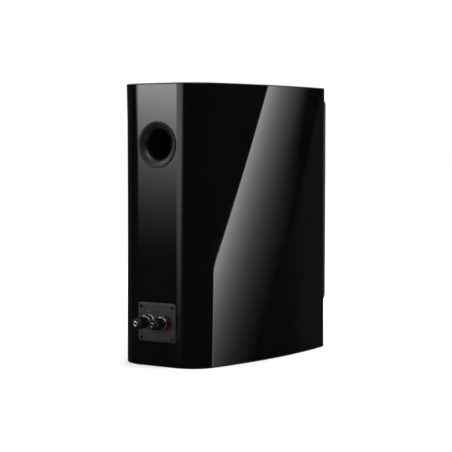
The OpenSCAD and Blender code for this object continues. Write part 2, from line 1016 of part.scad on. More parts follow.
// A corrugated centring disc between the coil former and the basket's shelf
module woofer_spider() {
    from = neck_r + glue_gap;
    to = shelf_r;
    steps = 24;
    span = to - from;
    middle = [for (k = [0:steps]) let (share = k / steps)
        [from + span * share, shelf_z + spider_depth * sin(360 * spider_waves * share)]];
    top = [for (p = middle) p + [0, spider_t]];
    foot = shelf_wall_r - slip;
    bottom = [for (k = [steps:-1:0]) middle[k]];
    color([0.7, 0.45, 0.2])
        at_woofer()
            rotate_extrude()
                polygon(concat(top, [[foot, shelf_z + spider_t], [foot, shelf_z]], bottom));
}

module woofer_top_plate() {
    color([0.3, 0.3, 0.32])
        at_woofer()
            ring(woofer_plate_r, gap_r, magnet_z, -basket_h);
}

module woofer_magnet() {
    color([0.1, 0.1, 0.1])
        at_woofer()
            ring(woofer_magnet_r, gap_r + magnet_gap, back_plate_z, magnet_z);
}

module woofer_yoke() {
    color([0.3, 0.3, 0.32])
        at_woofer()
            rotate_extrude()
                polygon([[woofer_vent_r, woofer_rear_z], [woofer_plate_r - yoke_edge, woofer_rear_z],
                    [woofer_plate_r, woofer_rear_z + yoke_edge], [woofer_plate_r, back_plate_z],
                    [pole_r, back_plate_z], [pole_r, pole_rise - basket_h],
                    [woofer_vent_r, pole_rise - basket_h]]);
}

module tag_strip() {
    difference() {
        translate([-strip_w / 2, 0, 0])
            cube([strip_w, strip_d, strip_t]);
        for (x = [-eyelet_dx / 2, eyelet_dx / 2])
            translate([x, strip_d - eyelet_in, -cut])
                cylinder(r = eyelet_r, h = strip_t + 2 * cut, $fn = 24);
    }
}

module woofer_tags() {
    color([0.5, 0.4, 0.15])
        at_woofer()
            difference() {
                rotate([0, 0, 180])
                    translate([0, magnet_seat_r - strip_lap, strip_rise - basket_h])
                        tag_strip();
                disc(magnet_seat_r, -basket_h, shelf_z);
            }
}

// ---- Tweeter ----

module tweeter_faceplate() {
    mouth = [for (k = [0:6])
        let (share = k / 6, rise = faceplate_t - horn_edge_t)
        [horn_in_r + (horn_out_r - horn_in_r) * share, horn_edge_t + rise * pow(share, 0.6)]];
    color([0.09, 0.09, 0.095])
        at_tweeter()
            difference() {
                rotate_extrude()
                    polygon(concat(mouth, [[faceplate_r - faceplate_edge, faceplate_t],
                        [faceplate_r, faceplate_t - faceplate_edge], [faceplate_r, 0], [horn_in_r, 0]]));
                around(tweeter_screw_count, tweeter_screw_r, tweeter_screw_a) {
                    disc(tweeter_screw_hole_r, -cut, faceplate_t + cut);
                    disc(tweeter_bore_r, faceplate_t - tweeter_head_d, faceplate_t + cut);
                }
            }
}

module tweeter_screws() {
    color([0.12, 0.12, 0.12])
        at_tweeter()
            around(tweeter_screw_count, tweeter_screw_r, tweeter_screw_a)
                translate([0, 0, faceplate_t - tweeter_head_d])
                    screw(tweeter_screw);
}

module tweeter_dome() {
    color([0.05, 0.05, 0.05])
        at_tweeter()
            translate([0, 0, tweeter_dome_z])
                rotate_extrude()
                    cap_section(tweeter_dome_r + tweeter_former_t, tweeter_dome_h, tweeter_dome_t);
}

module tweeter_voice_coil() {
    color([0.75, 0.42, 0.2])
        at_tweeter()
            ring(tweeter_dome_r + tweeter_former_t, tweeter_dome_r, -tweeter_plate_t - tweeter_coil_drop,
                tweeter_dome_z - tweeter_dome_t);
}

module tweeter_surround() {
    inner = tweeter_dome_r + tweeter_former_t + glue_gap;
    middle = [inner + tweeter_roll_r, tweeter_foot_t];
    color([0.05, 0.05, 0.05])
        at_tweeter()
            rotate_extrude() {
                intersection() {
                    difference() {
                        translate(middle)
                            circle(r = tweeter_roll_r, $fn = 48);
                        translate(middle)
                            circle(r = tweeter_roll_r - tweeter_foot_t, $fn = 48);
                    }
                    translate([inner - cut, tweeter_foot_t])
                        square([2 * tweeter_roll_r + 2 * cut, 2 * tweeter_roll_r]);
                }
                translate([inner + 2 * tweeter_roll_r - tweeter_foot_t, 0])
                    square([tweeter_foot_w, tweeter_foot_t]);
            }
}

module tweeter_top_plate() {
    color([0.3, 0.3, 0.32])
        at_tweeter()
            ring(tweeter_magnet_r, tweeter_gap_r, -tweeter_plate_t, 0);
}

module tweeter_magnet() {
    color([0.1, 0.1, 0.1])
        at_tweeter()
            ring(tweeter_magnet_r, tweeter_gap_r + magnet_gap, -tweeter_plate_t - tweeter_magnet_t,
                -tweeter_plate_t);
}

module tweeter_yoke() {
    front = -tweeter_plate_t - tweeter_magnet_t;
    color([0.3, 0.3, 0.32])
        at_tweeter()
            rotate_extrude()
                polygon([[tweeter_vent_r, yoke_rear_z], [tweeter_magnet_r, yoke_rear_z],
                    [tweeter_magnet_r, front], [tweeter_pole_r, front], [tweeter_pole_r, tweeter_pole_z],
                    [tweeter_vent_r, tweeter_pole_z]]);
}

module tweeter_rear_chamber() {
    inside_r = tweeter_magnet_r - chamber_wall_t;
    color([0.12, 0.12, 0.125])
        at_tweeter()
            rotate_extrude()
                polygon([[0, chamber_rear_z], [tweeter_magnet_r - chamber_edge, chamber_rear_z],
                    [tweeter_magnet_r, chamber_rear_z + chamber_edge], [tweeter_magnet_r, yoke_rear_z],
                    [inside_r, yoke_rear_z], [inside_r, chamber_rear_z + chamber_wall_t],
                    [0, chamber_rear_z + chamber_wall_t]]);
}

module tweeter_tags() {
    color([0.5, 0.4, 0.15])
        at_tweeter()
            translate([0, 0, chamber_rear_z])
                rotate([180, 0, 0])
                    tag_strip();
}

// ---- Crossover ----

module at_board(z = board_top) {
    translate([0, board_y, z])
        children();
}

module crossover_board() {
    color([0.08, 0.3, 0.12])
        at_board(board_z)
            difference() {
                translate([-board_w / 2, -board_d / 2, 0])
                    cube([board_w, board_d, board_t]);
                at_corners(standoff_dx, standoff_dy)
                    disc(hole_r, -cut, board_t + cut);
            }
}

module crossover_standoffs() {
    color([0.75, 0.75, 0.75])
        at_board(panel_t)
            at_corners(standoff_dx, standoff_dy)
                union() {
                    disc(standoff_r, 0, standoff_h);
                    disc(hole_r - glue_gap, 0, standoff_h + board_t);
                    disc(cap_nut_r, standoff_h + board_t, standoff_h + board_t + cap_nut_t);
                }
}

module crossover_coils() {
    color([0.75, 0.42, 0.2])
        at_board() {
            for (turn = [0, 180])
                rotate([0, 0, turn])
                    translate([coil_side + coil_r - board_w / 2, coil_end + coil_r - board_d / 2, 0])
                        ring(coil_r, coil_in_r, 0, coil_h);
            translate([board_w / 2 - small_coil_side, small_coil_end - board_d / 2, 0])
                ring(small_coil_r, small_coil_in_r, 0, small_coil_h);
        }
}

module crossover_capacitors() {
    color([0.15, 0.2, 0.45])
        at_board()
            for (k = [0:2])
                translate([capacitor_side + k * capacitor_pitch - board_w / 2, capacitor_y, capacitor_r])
                    rotate([-90, 0, 0])
                        cylinder(r = capacitor_r, h = capacitor_l);
}

module crossover_resistors() {
    color([0.85, 0.83, 0.78])
        at_board()
            for (k = [0:2])
                translate([resistor_x + k * (resistor_w + resistor_gap), -resistor_y, 0])
                    cube([resistor_w, resistor_l, resistor_w]);
}

// ---- Wiring ----

function curve(p, n) = [for (k = [0:n]) let (t = k / n, s = 1 - t)
    s * s * s * p[0] + 3 * s * s * t * p[1] + 3 * s * t * t * p[2] + t * t * t * p[3]];
function unit(v) = v / norm(v);

// A wire along a smooth curve with four control points
module wire(control) {
    points = curve(control, wire_rings);
    last = len(points) - 1;
    aside = [1, 0, 0];
    rings = [for (k = [0:last])
        let (along = unit(points[min(k + 1, last)] - points[max(k - 1, 0)]),
            u = unit(cross(along, aside)),
            v = cross(along, u))
        for (j = [0:wire_sides - 1])
            points[k] + wire_r * (cos(j * 360 / wire_sides) * u + sin(j * 360 / wire_sides) * v)];
    sides = [for (k = [0:last - 1], j = [0:wire_sides - 1])
        let (a = k * wire_sides + j, b = k * wire_sides + (j + 1) % wire_sides)
        [a, b, b + wire_sides, a + wire_sides]];
    start = [for (j = [wire_sides - 1:-1:0]) j];
    end = [for (j = [0:wire_sides - 1]) last * wire_sides + j];
    polyhedron(points = rings, faces = concat([start], sides, [end]));
}

module wiring_loom() {
    off_tag = wire_r + 2 * glue_gap;
    on_board = board_top + wire_lift;
    board_back = board_y + board_d / 2 - 4;
    board_front = board_y - board_d / 2 + 8;
    tag_y = y_plate - plate_t - bush_l - nut_t - tag_t - off_tag;
    woofer_tag_y = y_face + woofer_flange_t + basket_h - strip_rise + off_tag;
    woofer_tag_z = woofer_z - magnet_seat_r - strip_d + eyelet_in;
    tweeter_tag_y = y_face + faceplate_t - chamber_rear_z + strip_t + off_tag;
    tweeter_tag_z = tweeter_z + strip_d - eyelet_in;
    eyelet_x = eyelet_dx / 2;
    riser_y = y_inside + 110;
    color([0.5, 0.08, 0.08])
        for (side = [-1, 1]) {
            wire([[side * post_dx / 2, tag_y, terminal_z + tag_w / 2 - tag_l],
                [side * post_dx / 2, tag_y - 18, terminal_z - tag_l],
                [side * 12, board_back + 4, board_top + 26],
                [side * 12, board_back, on_board]]);
            wire([[side * eyelet_x, woofer_tag_y, woofer_tag_z],
                [side * eyelet_x, woofer_tag_y + 14, woofer_tag_z - 8],
                [side * eyelet_x, board_front + 12, board_top + 40],
                [side * eyelet_x, board_front, on_board]]);
            wire([[side * eyelet_x, tweeter_tag_y, tweeter_tag_z],
                [side * eyelet_x, riser_y + 30, tweeter_z + 10],
                [side * wire_pair, riser_y + 20, upper_brace_z + 10],
                [side * wire_pair, riser_y, upper_brace_z - 40]]);
            wire([[side * wire_pair, riser_y, upper_brace_z - 40],
                [side * wire_pair, riser_y - 20, upper_brace_z - 90],
                [side * wire_pair, riser_y, lower_brace_z],
                [side * wire_pair, riser_y - 40, on_board]]);
        }
}

cabinet_shell();
top_panel();
bottom_panel();
front_panel();
upper_brace();
lower_brace();
acoustic_wadding();
stand_inserts();
baffle_plate();
port_flare();
port_tube();
port_inner_flare();
terminal_plate();
terminal_gasket();
terminal_screws();
negative_collar();
positive_collar();
post_sleeves();
negative_stud();
positive_stud();
negative_clamp_ring();
positive_clamp_ring();
negative_knob();
positive_knob();
post_insulators();
post_nuts();
solder_tags();
woofer_basket();
woofer_trim_ring();
woofer_screws();
woofer_cone();
woofer_dust_dome();
woofer_voice_coil();
woofer_surround();
woofer_spider();
woofer_top_plate();
woofer_magnet();
woofer_yoke();
woofer_tags();
tweeter_faceplate();
tweeter_screws();
tweeter_dome();
tweeter_voice_coil();
tweeter_surround();
tweeter_top_plate();
tweeter_magnet();
tweeter_yoke();
tweeter_rear_chamber();
tweeter_tags();
crossover_board();
crossover_standoffs();
crossover_coils();
crossover_capacitors();
crossover_resistors();
wiring_loom();
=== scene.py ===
"""The looks of the bookshelf speaker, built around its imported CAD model.

Lengths are in millimetres unless a name says otherwise; MM turns them into Blender's metres.
"""

import json
import math

import bmesh
import bpy
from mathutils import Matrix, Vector


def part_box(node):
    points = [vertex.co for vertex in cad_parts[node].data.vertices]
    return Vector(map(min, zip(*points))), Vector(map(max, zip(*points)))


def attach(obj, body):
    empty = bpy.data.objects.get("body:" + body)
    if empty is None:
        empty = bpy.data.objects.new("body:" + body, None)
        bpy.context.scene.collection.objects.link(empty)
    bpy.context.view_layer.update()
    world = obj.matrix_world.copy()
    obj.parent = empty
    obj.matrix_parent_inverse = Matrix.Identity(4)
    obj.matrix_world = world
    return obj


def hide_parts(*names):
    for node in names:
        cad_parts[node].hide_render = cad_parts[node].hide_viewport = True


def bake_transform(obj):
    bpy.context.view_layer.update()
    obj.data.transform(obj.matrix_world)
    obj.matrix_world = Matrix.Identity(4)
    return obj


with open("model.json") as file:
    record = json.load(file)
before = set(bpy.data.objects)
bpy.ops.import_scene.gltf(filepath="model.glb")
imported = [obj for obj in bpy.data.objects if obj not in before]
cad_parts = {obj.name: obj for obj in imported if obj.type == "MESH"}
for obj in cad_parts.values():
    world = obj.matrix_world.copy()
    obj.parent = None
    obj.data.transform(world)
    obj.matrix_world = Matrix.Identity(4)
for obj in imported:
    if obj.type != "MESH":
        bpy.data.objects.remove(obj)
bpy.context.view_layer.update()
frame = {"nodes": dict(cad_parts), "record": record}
MM = 0.001
SHARP_DEG = 32  # an edge that turns more than this stays sharp
BAND_M = 0.31  # from band to band in a wave texture of scale 1


# ---------------------------------------------------------------- places and sizes from the frame

def span(node):
    """Lowest and highest corner of a CAD node, in millimetres."""
    low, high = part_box(node)
    return [c / MM for c in low], [c / MM for c in high]


def size_of(node):
    """Width, depth and height of a CAD node."""
    low, high = span(node)
    return [b - a for a, b in zip(low, high)]


class Axis:
    """A round piece's own frame: w runs along its axis, outwards.

    Facing is -1 at the front and 1 at the back."""

    def __init__(self, x, y, z, facing):
        self.x, self.y, self.z, self.facing = x, y, z, facing

    def point(self, u, v, w):
        return self.x + u, self.y + self.facing * w, self.z - self.facing * v


def axis_of(node, y, facing):
    """The axis through a CAD node's middle, with its w counted from y."""
    low, high = span(node)
    return Axis((low[0] + high[0]) / 2, y, (low[2] + high[2]) / 2, facing)


half_w, y_back, _ = span("cabinet_shell")[1]
y_front, y_inside = (corner[1] for corner in span("front_panel"))
top_z, cabinet_h = (corner[2] for corner in span("top_panel"))
panel_t = cabinet_h - top_z
y_plate = span("terminal_plate")[1][1]

# A driver's heights are counted from its seat in the baffle plate
trim_t = 10
woofer = axis_of("woofer_trim_ring", span("woofer_trim_ring")[0][1] + trim_t, -1)
faceplate_t = 5
tweeter = axis_of("tweeter_faceplate", span("tweeter_faceplate")[0][1] + faceplate_t, -1)
port = axis_of("port_flare", y_back, 1)
plate = axis_of("terminal_plate", y_plate, 1)
SIGNS = "negative", "positive"


def post(sign):
    return axis_of(f"{sign}_collar", y_plate, 1)


# ---------------------------------------------------------------- materials

class Nodes:
    """The node tree of a material or a world, with the few steps that each of them needs."""

    def __init__(self, owner):
        owner.use_nodes = True
        self.tree = owner.node_tree
        self.tree.nodes.clear()

    def node(self, kind, *ordered, **named):
        """A new node, from numbers and other nodes' sockets.

        Ordered values fill its first inputs; a named one goes to the input of that name, or else
        to the setting."""
        made = self.tree.nodes.new(kind)
        for name, value in named.items():
            socket = name.replace("_", " ")
            if socket in made.inputs:
                self.fill(made.inputs[socket], value)
            else:
                setattr(made, name, value)
        for socket, value in zip(made.inputs, ordered):
            self.fill(socket, value)
        return made

    def fill(self, socket, value):
        if isinstance(value, bpy.types.NodeSocket):
            self.tree.links.new(value, socket)
        else:
            socket.default_value = value

    def spread(self, value, low, high, source_low=0.3, source_high=0.7):
        return self.node("ShaderNodeMapRange", Value=value, From_Min=source_low,
                         From_Max=source_high, To_Min=low, To_Max=high).outputs["Result"]

    def math(self, operation, first, second):
        return self.node("ShaderNodeMath", first, second, operation=operation).outputs[0]


class Finish(Nodes):
    """A piece's material: one shader, whose colour, gloss and relief come from textures."""

    def __init__(self, name):
        self.name = name
        self.material = bpy.data.materials.new(name)
        super().__init__(self.material)
        self.shader = self.node("ShaderNodeBsdfPrincipled")
        self.node("ShaderNodeOutputMaterial", self.shader.outputs[0])
        self.place = self.node("ShaderNodeTexCoord").outputs["Object"]

    def set(self, **values):
        for name, value in values.items():
            self.fill(self.shader.inputs[name.replace("_", " ")], value)
        return self

    def stretched(self, scale):
        return self.node("ShaderNodeMapping", self.place, Scale=scale).outputs[0]

    def noise(self, scale, detail=3.0, where=None):
        return self.node("ShaderNodeTexNoise", where or self.place, Scale=scale, Detail=detail,
                         Roughness=0.6).outputs["Fac"]

    def bands(self, pitch_mm, direction, distortion=0.0):
        """Waves along one direction, pitch_mm from crest to crest."""
        waves = self.node("ShaderNodeTexWave", self.place, Scale=BAND_M / (pitch_mm * MM),
                          Distortion=distortion, Detail=1.0, bands_direction=direction)
        return waves.outputs["Fac"]

    def tint(self, value, first, second):
        """Colour that runs from first to second with value."""
        made = self.node("ShaderNodeMix", value, data_type="RGBA")
        colour_a, colour_b, colour_out = made.inputs[6], made.inputs[7], made.outputs[2]
        self.fill(colour_a, (*first, 1))
        self.fill(colour_b, (*second, 1))
        return self.set(Base_Color=colour_out)

    def rough(self, value, low, high):
        return self.set(Roughness=self.spread(value, low, high))

    def relief(self, value, height_mm):
        bump = self.node("ShaderNodeBump", Distance=height_mm * MM, Height=value)
        return self.set(Normal=bump.outputs[0])


def shade(colour, factor):
    return tuple(min(1.0, c * factor) for c in colour)


def speckled(name, colour, rough, metal=0.0, grain=4000, depth_mm=0.01, spread=0.12, mottle=60,
             **more):
    """A fine even grain, with a slow change of colour and of gloss over it."""
    f = Finish(name)
    slow = f.noise(mottle, 2.0)
    f.tint(f.spread(slow, 0, 1), shade(colour, 1 - spread), shade(colour, 1 + spread))
    fine = f.noise(grain, 2.0)
    f.rough(f.math("ADD", f.math("MULTIPLY", fine, 0.5), f.math("MULTIPLY", slow, 0.5)),
            rough * 0.88, rough * 1.12)
    f.relief(fine, depth_mm)
    return f.set(Metallic=metal, **more)


def woven(name, colour, rough, pitch_mm, depth_mm, dark=0.6, **more):
    """Threads that cross, for cloth and for impregnated weave."""
    f = Finish(name)
    threads = f.math("MAXIMUM", f.bands(pitch_mm, "X"), f.bands(pitch_mm, "Z"))
    fuzz = f.noise(900, 4.0)
    f.tint(f.spread(f.math("MULTIPLY", threads, f.spread(fuzz, 0.7, 1.0)), 0, 1, 0.2, 1.0),
           shade(colour, dark), colour)
    f.rough(fuzz, rough * 0.92, min(1.0, rough * 1.08))
    f.relief(threads, depth_mm)
    return f.set(**more)


def wound(name, colour, rough, metal, pitch_mm, direction="Y"):
    """Turns of wire, side by side."""
    f = Finish(name)
    turns = f.bands(pitch_mm, direction, 0.15)
    f.tint(f.spread(turns, 0, 1, 0.0, 0.6), shade(colour, 0.35), colour)
    f.rough(f.noise(300), rough * 0.9, rough * 1.1)
    f.relief(turns, pitch_mm * 0.4)
    return f.set(Metallic=metal)


def brushed(name, colour, rough, spread=0.08):
    """Metal with fine lines along the object's depth."""
    f = Finish(name)
    lines = f.noise(1.0, 4.0, f.stretched((900, 60, 900)))
    f.tint(f.spread(lines, 0, 1), shade(colour, 1 - spread), shade(colour, 1 + spread))
    f.rough(lines, rough * 0.8, rough * 1.25)
    f.relief(lines, 0.004)
    return f.set(Metallic=1.0)


def plies(name, light, dark, ply_mm):
    """Sawn plywood: plies one above another, with the grain and its pores across them."""
    f = Finish(name)
    layers = f.bands(2 * ply_mm, "Z", 0.6)
    grain = f.noise(1.0, 6.0, f.stretched((900, 30, 900)))
    both = f.math("ADD", f.math("MULTIPLY", layers, 0.55), f.math("MULTIPLY", grain, 0.45))
    f.tint(f.spread(both, 0, 1, 0.25, 0.75), dark, light)
    f.rough(grain, 0.55, 0.75)
    return f.relief(grain, 0.06)


def lacquer(name):
    """Piano black: a deep polished coat, with the faintest orange peel and polishing haze."""
    f = Finish(name)
    peel = f.noise(170, 1.0)
    haze = f.noise(14, 3.0)
    f.tint(f.spread(haze, 0, 1), (0.0016, 0.0016, 0.0018), (0.0024, 0.0024, 0.0026))
    f.rough(haze, 0.018, 0.034)
    f.relief(peel, 0.0004)
    return f.set(IOR=1.5)


def clear_plastic(name, colour, transmission, rough):
    """A moulded see-through collar: polished outside, with a slight haze in it."""
    f = Finish(name)
    cloud = f.noise(500, 2.0)
    f.tint(f.spread(cloud, 0, 1), shade(colour, 0.85), colour)
    f.rough(cloud, rough * 0.8, rough * 1.2)
    f.relief(f.noise(2500, 1.0), 0.002)
    return f.set(Transmission_Weight=transmission, IOR=1.49)


def all_finishes():
    """Every material by name: one for each slot of the record, and the scene's own few."""
    own = {m["slot"]: tuple(m["base_color"]) for m in frame["record"]["materials"]}
    made = [
        lacquer("cabinet_lacquer"),
        plies("birch_ply", (0.66, 0.52, 0.37), (0.42, 0.29, 0.18), 1.4),
        speckled("wadding", own["wadding"], 1.0, grain=700, depth_mm=1.2, spread=0.1, mottle=90,
                 Sheen_Weight=0.4),
        brushed("brass", own["brass"], 0.3),
        speckled("baffle_metal", (0.03, 0.03, 0.032), 0.42, metal=0.35, grain=5000, depth_mm=0.012,
                 spread=0.1),
        speckled("port_plastic", (0.004, 0.004, 0.0042), 0.36, grain=3500, depth_mm=0.005),
        speckled("terminal_metal", (0.03, 0.0295, 0.0302), 0.4, metal=0.3, grain=4500),
        speckled("black_rubber", own["black_rubber"], 0.75, grain=1500, depth_mm=0.02),
        speckled("black_steel", (0.009, 0.009, 0.0095), 0.26, metal=0.3, grain=2600,
                 depth_mm=0.006),
        clear_plastic("clear_collar", (0.25, 0.25, 0.255), 0.95, 0.05),
        clear_plastic("red_collar", (0.09, 0.004, 0.006), 0.7, 0.16),
        # Painted highlight: a near-white, almost opaque finish for the clear collar's foot rim
        clear_plastic("painted_collar_highlight", (0.97, 0.97, 0.98), 0.05, 0.2),
        speckled("black_gloss_plastic", (0.0025, 0.0025, 0.0028), 0.07, grain=700, depth_mm=0.001),
        speckled("bright_metal", (0.86, 0.86, 0.87), 0.22, metal=1.0, grain=2600, depth_mm=0.0006,
                 spread=0.03),
        # Painted shade: a dark metal for the stud's socket bore and the side of its tip
        speckled("painted_shade_metal", (0.05, 0.045, 0.043), 0.35, metal=1.0, grain=2600, depth_mm=0.001),
        speckled("copper_tint_metal", (0.42, 0.27, 0.245), 0.16, metal=1.0, grain=2600,
                 depth_mm=0.0006, spread=0.04),
        speckled("white_plastic", own["white_plastic"], 0.45),
        brushed("tinned_metal", own["tinned_metal"], 0.3),
        speckled("cast_metal", (0.025, 0.025, 0.027), 0.5, metal=0.2, grain=1600, depth_mm=0.03),
        speckled("trim_plastic", (0.007, 0.007, 0.0075), 0.24, grain=3500, depth_mm=0.003),
        speckled("cone_polymer", (0.009, 0.009, 0.0105), 0.27, grain=2200, depth_mm=0.004),
        wound("voice_coil", own["voice_coil"], 0.3, 0.8, 0.35),
        woven("impregnated_fabric", own["impregnated_fabric"], 0.7, 0.7, 0.12),
        brushed("steel", own["steel"], 0.35, spread=0.12),
        speckled("ferrite", own["ferrite"], 0.65, grain=1800, depth_mm=0.03, spread=0.2),
        woven("tag_board", own["tag_board"], 0.5, 0.5, 0.03, dark=0.8),
        speckled("faceplate_metal", (0.016, 0.016, 0.0175), 0.34, metal=0.35, grain=5000,
                 depth_mm=0.012),
        woven("coated_silk", (0.013, 0.013, 0.014), 0.42, 0.35, 0.03, dark=0.5, Sheen_Weight=0.15),
        speckled("circuit_board", own["circuit_board"], 0.35, grain=1200),
        speckled("nylon", own["nylon"], 0.45),
        wound("coil_winding", own["coil_winding"], 0.25, 0.9, 1.1, "Z"),
        speckled("capacitor_film", own["capacitor_film"], 0.22, grain=500, depth_mm=0.02),
        speckled("ceramic", own["ceramic"], 0.7, grain=1200, depth_mm=0.05, spread=0.15),
        speckled("wire_insulation", own["wire_insulation"], 0.35, grain=900),
        speckled("surround_rubber", (0.006, 0.006, 0.0062), 0.42, grain=2500),
        speckled("bare_board", (0.34, 0.24, 0.15), 0.8, grain=900, depth_mm=0.05, spread=0.2,
                 mottle=40),
        speckled("mark_light", (0.14, 0.14, 0.14), 0.5),
        speckled("mark_red", (0.12, 0.02, 0.02), 0.5),
    ]
    return {f.name: f.material for f in made}


finishes = all_finishes()


def paint(made, name):
    made.data.materials.clear()
    made.data.materials.append(finishes[name])


slot_of = {row["node"]: row["material_slot"] for row in frame["record"]["subparts"]}
for node_name, node_object in frame["nodes"].items():
    paint(node_object, slot_of[node_name])


# ---------------------------------------------------------------- shapes

def clamp(value):
    return max(0.0, min(1.0, value))


def smooth_step(value, low, high):
    """0 at low and 1 at high, with no corner at either."""
    t = clamp((value - low) / (high - low))
    return t * t * (3 - 2 * t)


def rework(mesh, step, sharp_deg):
    """Runs one bmesh step, then shades the mesh smooth between its sharp edges."""
    work = bmesh.new()
    work.from_mesh(mesh)
    step(work)
    work.to_mesh(mesh)
    work.free()
    mesh.shade_smooth()
    mesh.set_sharp_from_angle(angle=math.radians(sharp_deg))


def add_object(name, points, faces, sharp_deg=SHARP_DEG):
    """A smooth closed mesh from points in millimetres."""
    mesh = bpy.data.meshes.new(name)
    mesh.from_pydata([tuple(c * MM for c in p) for p in points], [], faces)
    rework(mesh, lambda work: bmesh.ops.recalc_face_normals(work, faces=work.faces), sharp_deg)
    made = bpy.data.objects.new(name, mesh)
    bpy.context.scene.collection.objects.link(made)
    return made


def dress(made, slot, *replaced, body="cabinet", material=None):
    """Gives a piece its finish, its body, and the CAD nodes that it stands for."""
    paint(made, material or slot)
    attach(made, body)
    if replaced:
        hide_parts(*replaced)


def arc(cx, cy, r, start, end, steps):
    """Points on an arc, from start to end in degrees."""
    angles = [math.radians(start + (end - start) * k / steps) for k in range(steps + 1)]
    return [(cx + r * math.cos(a), cy + r * math.sin(a)) for a in angles]


def eased(profile, radius=0.3, steps=3):
    """A closed section with its corners rounded a little, so that they catch the light."""
    least_turn = 25
    made = []
    count = len(profile)
    for k, point in enumerate(profile):
        here = Vector(point[:2])
        back = Vector(profile[k - 1][:2]) - here
        ahead = Vector(profile[(k + 1) % count][:2]) - here
        on_axis = point[0] < 1e-6
        if on_axis or back.length < 1e-6 or ahead.length < 1e-6 or (
                math.degrees(math.pi - back.angle(ahead)) < least_turn):
            made.append(point)
            continue
        reach = min(radius, 0.42 * min(back.length, ahead.length))
        first = here + back.normalized() * reach
        last = here + ahead.normalized() * reach
        for step in range(steps + 1):
            t = step / steps
            p = first * (1 - t) ** 2 + here * 2 * t * (1 - t) + last * t * t
            made.append((p.x, p.y, *point[2:]))
    return made


def turned_mesh(profile, axis, steps, outlines, first_index=0):
    """Points and faces of a closed section turned around an axis.

    A point's third entry names an outline: a function from angle and radius to radius."""
    points, faces, rows = [], [], []
    for r, w, *named in profile:
        if r < 1e-6:
            rows.append([first_index + len(points)])
            points.append(axis.point(0, 0, w))
            continue
        rows.append([first_index + len(points) + k for k in range(steps)])
        for k in range(steps):
            a = 2 * math.pi * k / steps
            radius = outlines[named[0]](a, r) if named else r
            points.append(axis.point(radius * math.cos(a), radius * math.sin(a), w))
    for k, row in enumerate(rows):
        after = rows[(k + 1) % len(rows)]
        if len(row) == 1 and len(after) == 1:
            continue
        for s in range(steps):
            t = (s + 1) % steps
            if len(row) == 1:
                faces.append((row[0], after[s], after[t]))
            elif len(after) == 1:
                faces.append((row[s], after[0], row[t]))
            else:
                faces.append((row[s], after[s], after[t], row[t]))
    return points, faces


def turned(name, profile, axis, steps, outlines=None, sharp_deg=SHARP_DEG):
    return add_object(name, *turned_mesh(profile, axis, steps, outlines), sharp_deg=sharp_deg)


def several(name, section, places, steps, outlines=None):
    """One piece that is the same turned solid at each of the places."""
    points, faces = [], []
    for axis in places:
        more_points, more_faces = turned_mesh(section, axis, steps, outlines, len(points))
        points += more_points
        faces += more_faces
    return add_object(name, points, faces)


def prism(outline, levels):
    """Points and faces of a closed solid: outline(inset) at each (inset, height) of the levels."""
    points, faces = [], []
    count = len(outline(0))
    for inset, height in levels:
        points += [(*p, height) for p in outline(inset)]
    for level in range(len(levels) - 1):
        for k in range(count):
            n = (k + 1) % count
            a, b = level * count, (level + 1) * count
            faces.append((a + k, a + n, b + n, b + k))
    faces.append(tuple(reversed(range(count))))
    faces.append(tuple(range((len(levels) - 1) * count, len(levels) * count)))
    return points, faces


def stood(axis, outline, levels):
    """A prism stood on an axis: its heights run outwards."""
    points, faces = prism(outline, levels)
    return [axis.point(x, -axis.facing * z, w) for x, z, w in points], faces


def rounded_box(width, height, radius, steps=12):
    """outline(inset) of a rectangle with round corners, about its own middle."""
    def outline(inset):
        made = []
        for start, sx, sy in ((0, 1, 1), (90, -1, 1), (180, -1, -1), (270, 1, -1)):
            cx, cy = sx * (width / 2 - radius), sy * (height / 2 - radius)
            made += arc(cx, cy, radius - inset, start, start + 90, steps)
        return made
    return outline


def cut(target, *cutters):
    """Takes the cutters out of the target for good."""
    for cutter in cutters:
        step = target.modifiers.new("cut", "BOOLEAN")
        step.operation = "DIFFERENCE"
        step.solver = "EXACT"
        step.object = cutter
    bpy.context.view_layer.update()
    graph = bpy.context.evaluated_depsgraph_get()
    made = bpy.data.meshes.new_from_object(target.evaluated_get(graph))
    target.modifiers.clear()
    old = target.data
    target.data = made
    made.name = target.name
    bpy.data.meshes.remove(old)
    for cutter in cutters:
        bpy.data.objects.remove(cutter)

    def clean(work):
        bmesh.ops.remove_doubles(work, verts=work.verts, dist=1e-6)
        bmesh.ops.dissolve_degenerate(work, edges=work.edges, dist=1e-6)
    rework(made, clean, SHARP_DEG)


def bore(radius, start, end, flare=0.0, face=None):
    """Section of a round cutter from start to end; it widens by flare at the height face."""
    if face is None:
        return [(0, start), (radius, start), (radius, end), (0, end)]
    return [(0, start), (radius, start), (radius, face - flare), (radius + flare, face),
            (radius + flare, end), (0, end)]


# ---------------------------------------------------------------- the cabinet's lacquered body

side_r = 811
widest_from_back = 240
rear_corner_r = 47.5
front_edge_r = 3
rim_r = 2
wall_t = 18
side_steps = 64
corner_steps = 36
edge_steps = 8
side_cx = half_w - side_r
side_cy = y_back - widest_from_back


def tangent_x(r, y):
    """Where the centre of an arc of radius r lies, for it to run into the side."""
    return side_cx + math.sqrt((side_r - r) ** 2 - (y - side_cy) ** 2)


rear_cy = y_back - rear_corner_r
rear_cx = tangent_x(rear_corner_r, rear_cy)
front_cy = y_front + front_edge_r
front_cx = tangent_x(front_edge_r, front_cy)
rear_a = math.degrees(math.atan2(rear_cy - side_cy, rear_cx - side_cx))
front_a = math.degrees(math.atan2(front_cy - side_cy, front_cx - side_cx))


def both_sides(half):
    return half + [(-x, y) for x, y in reversed(half)]


def body_outline(inset):
    return both_sides(
        arc(front_cx, front_cy, front_edge_r - inset, -90, front_a, edge_steps)
        + arc(side_cx, side_cy, side_r - inset, front_a, rear_a, side_steps)[1:]
        + arc(rear_cx, rear_cy, rear_corner_r - inset, rear_a, 90, corner_steps)[1:])


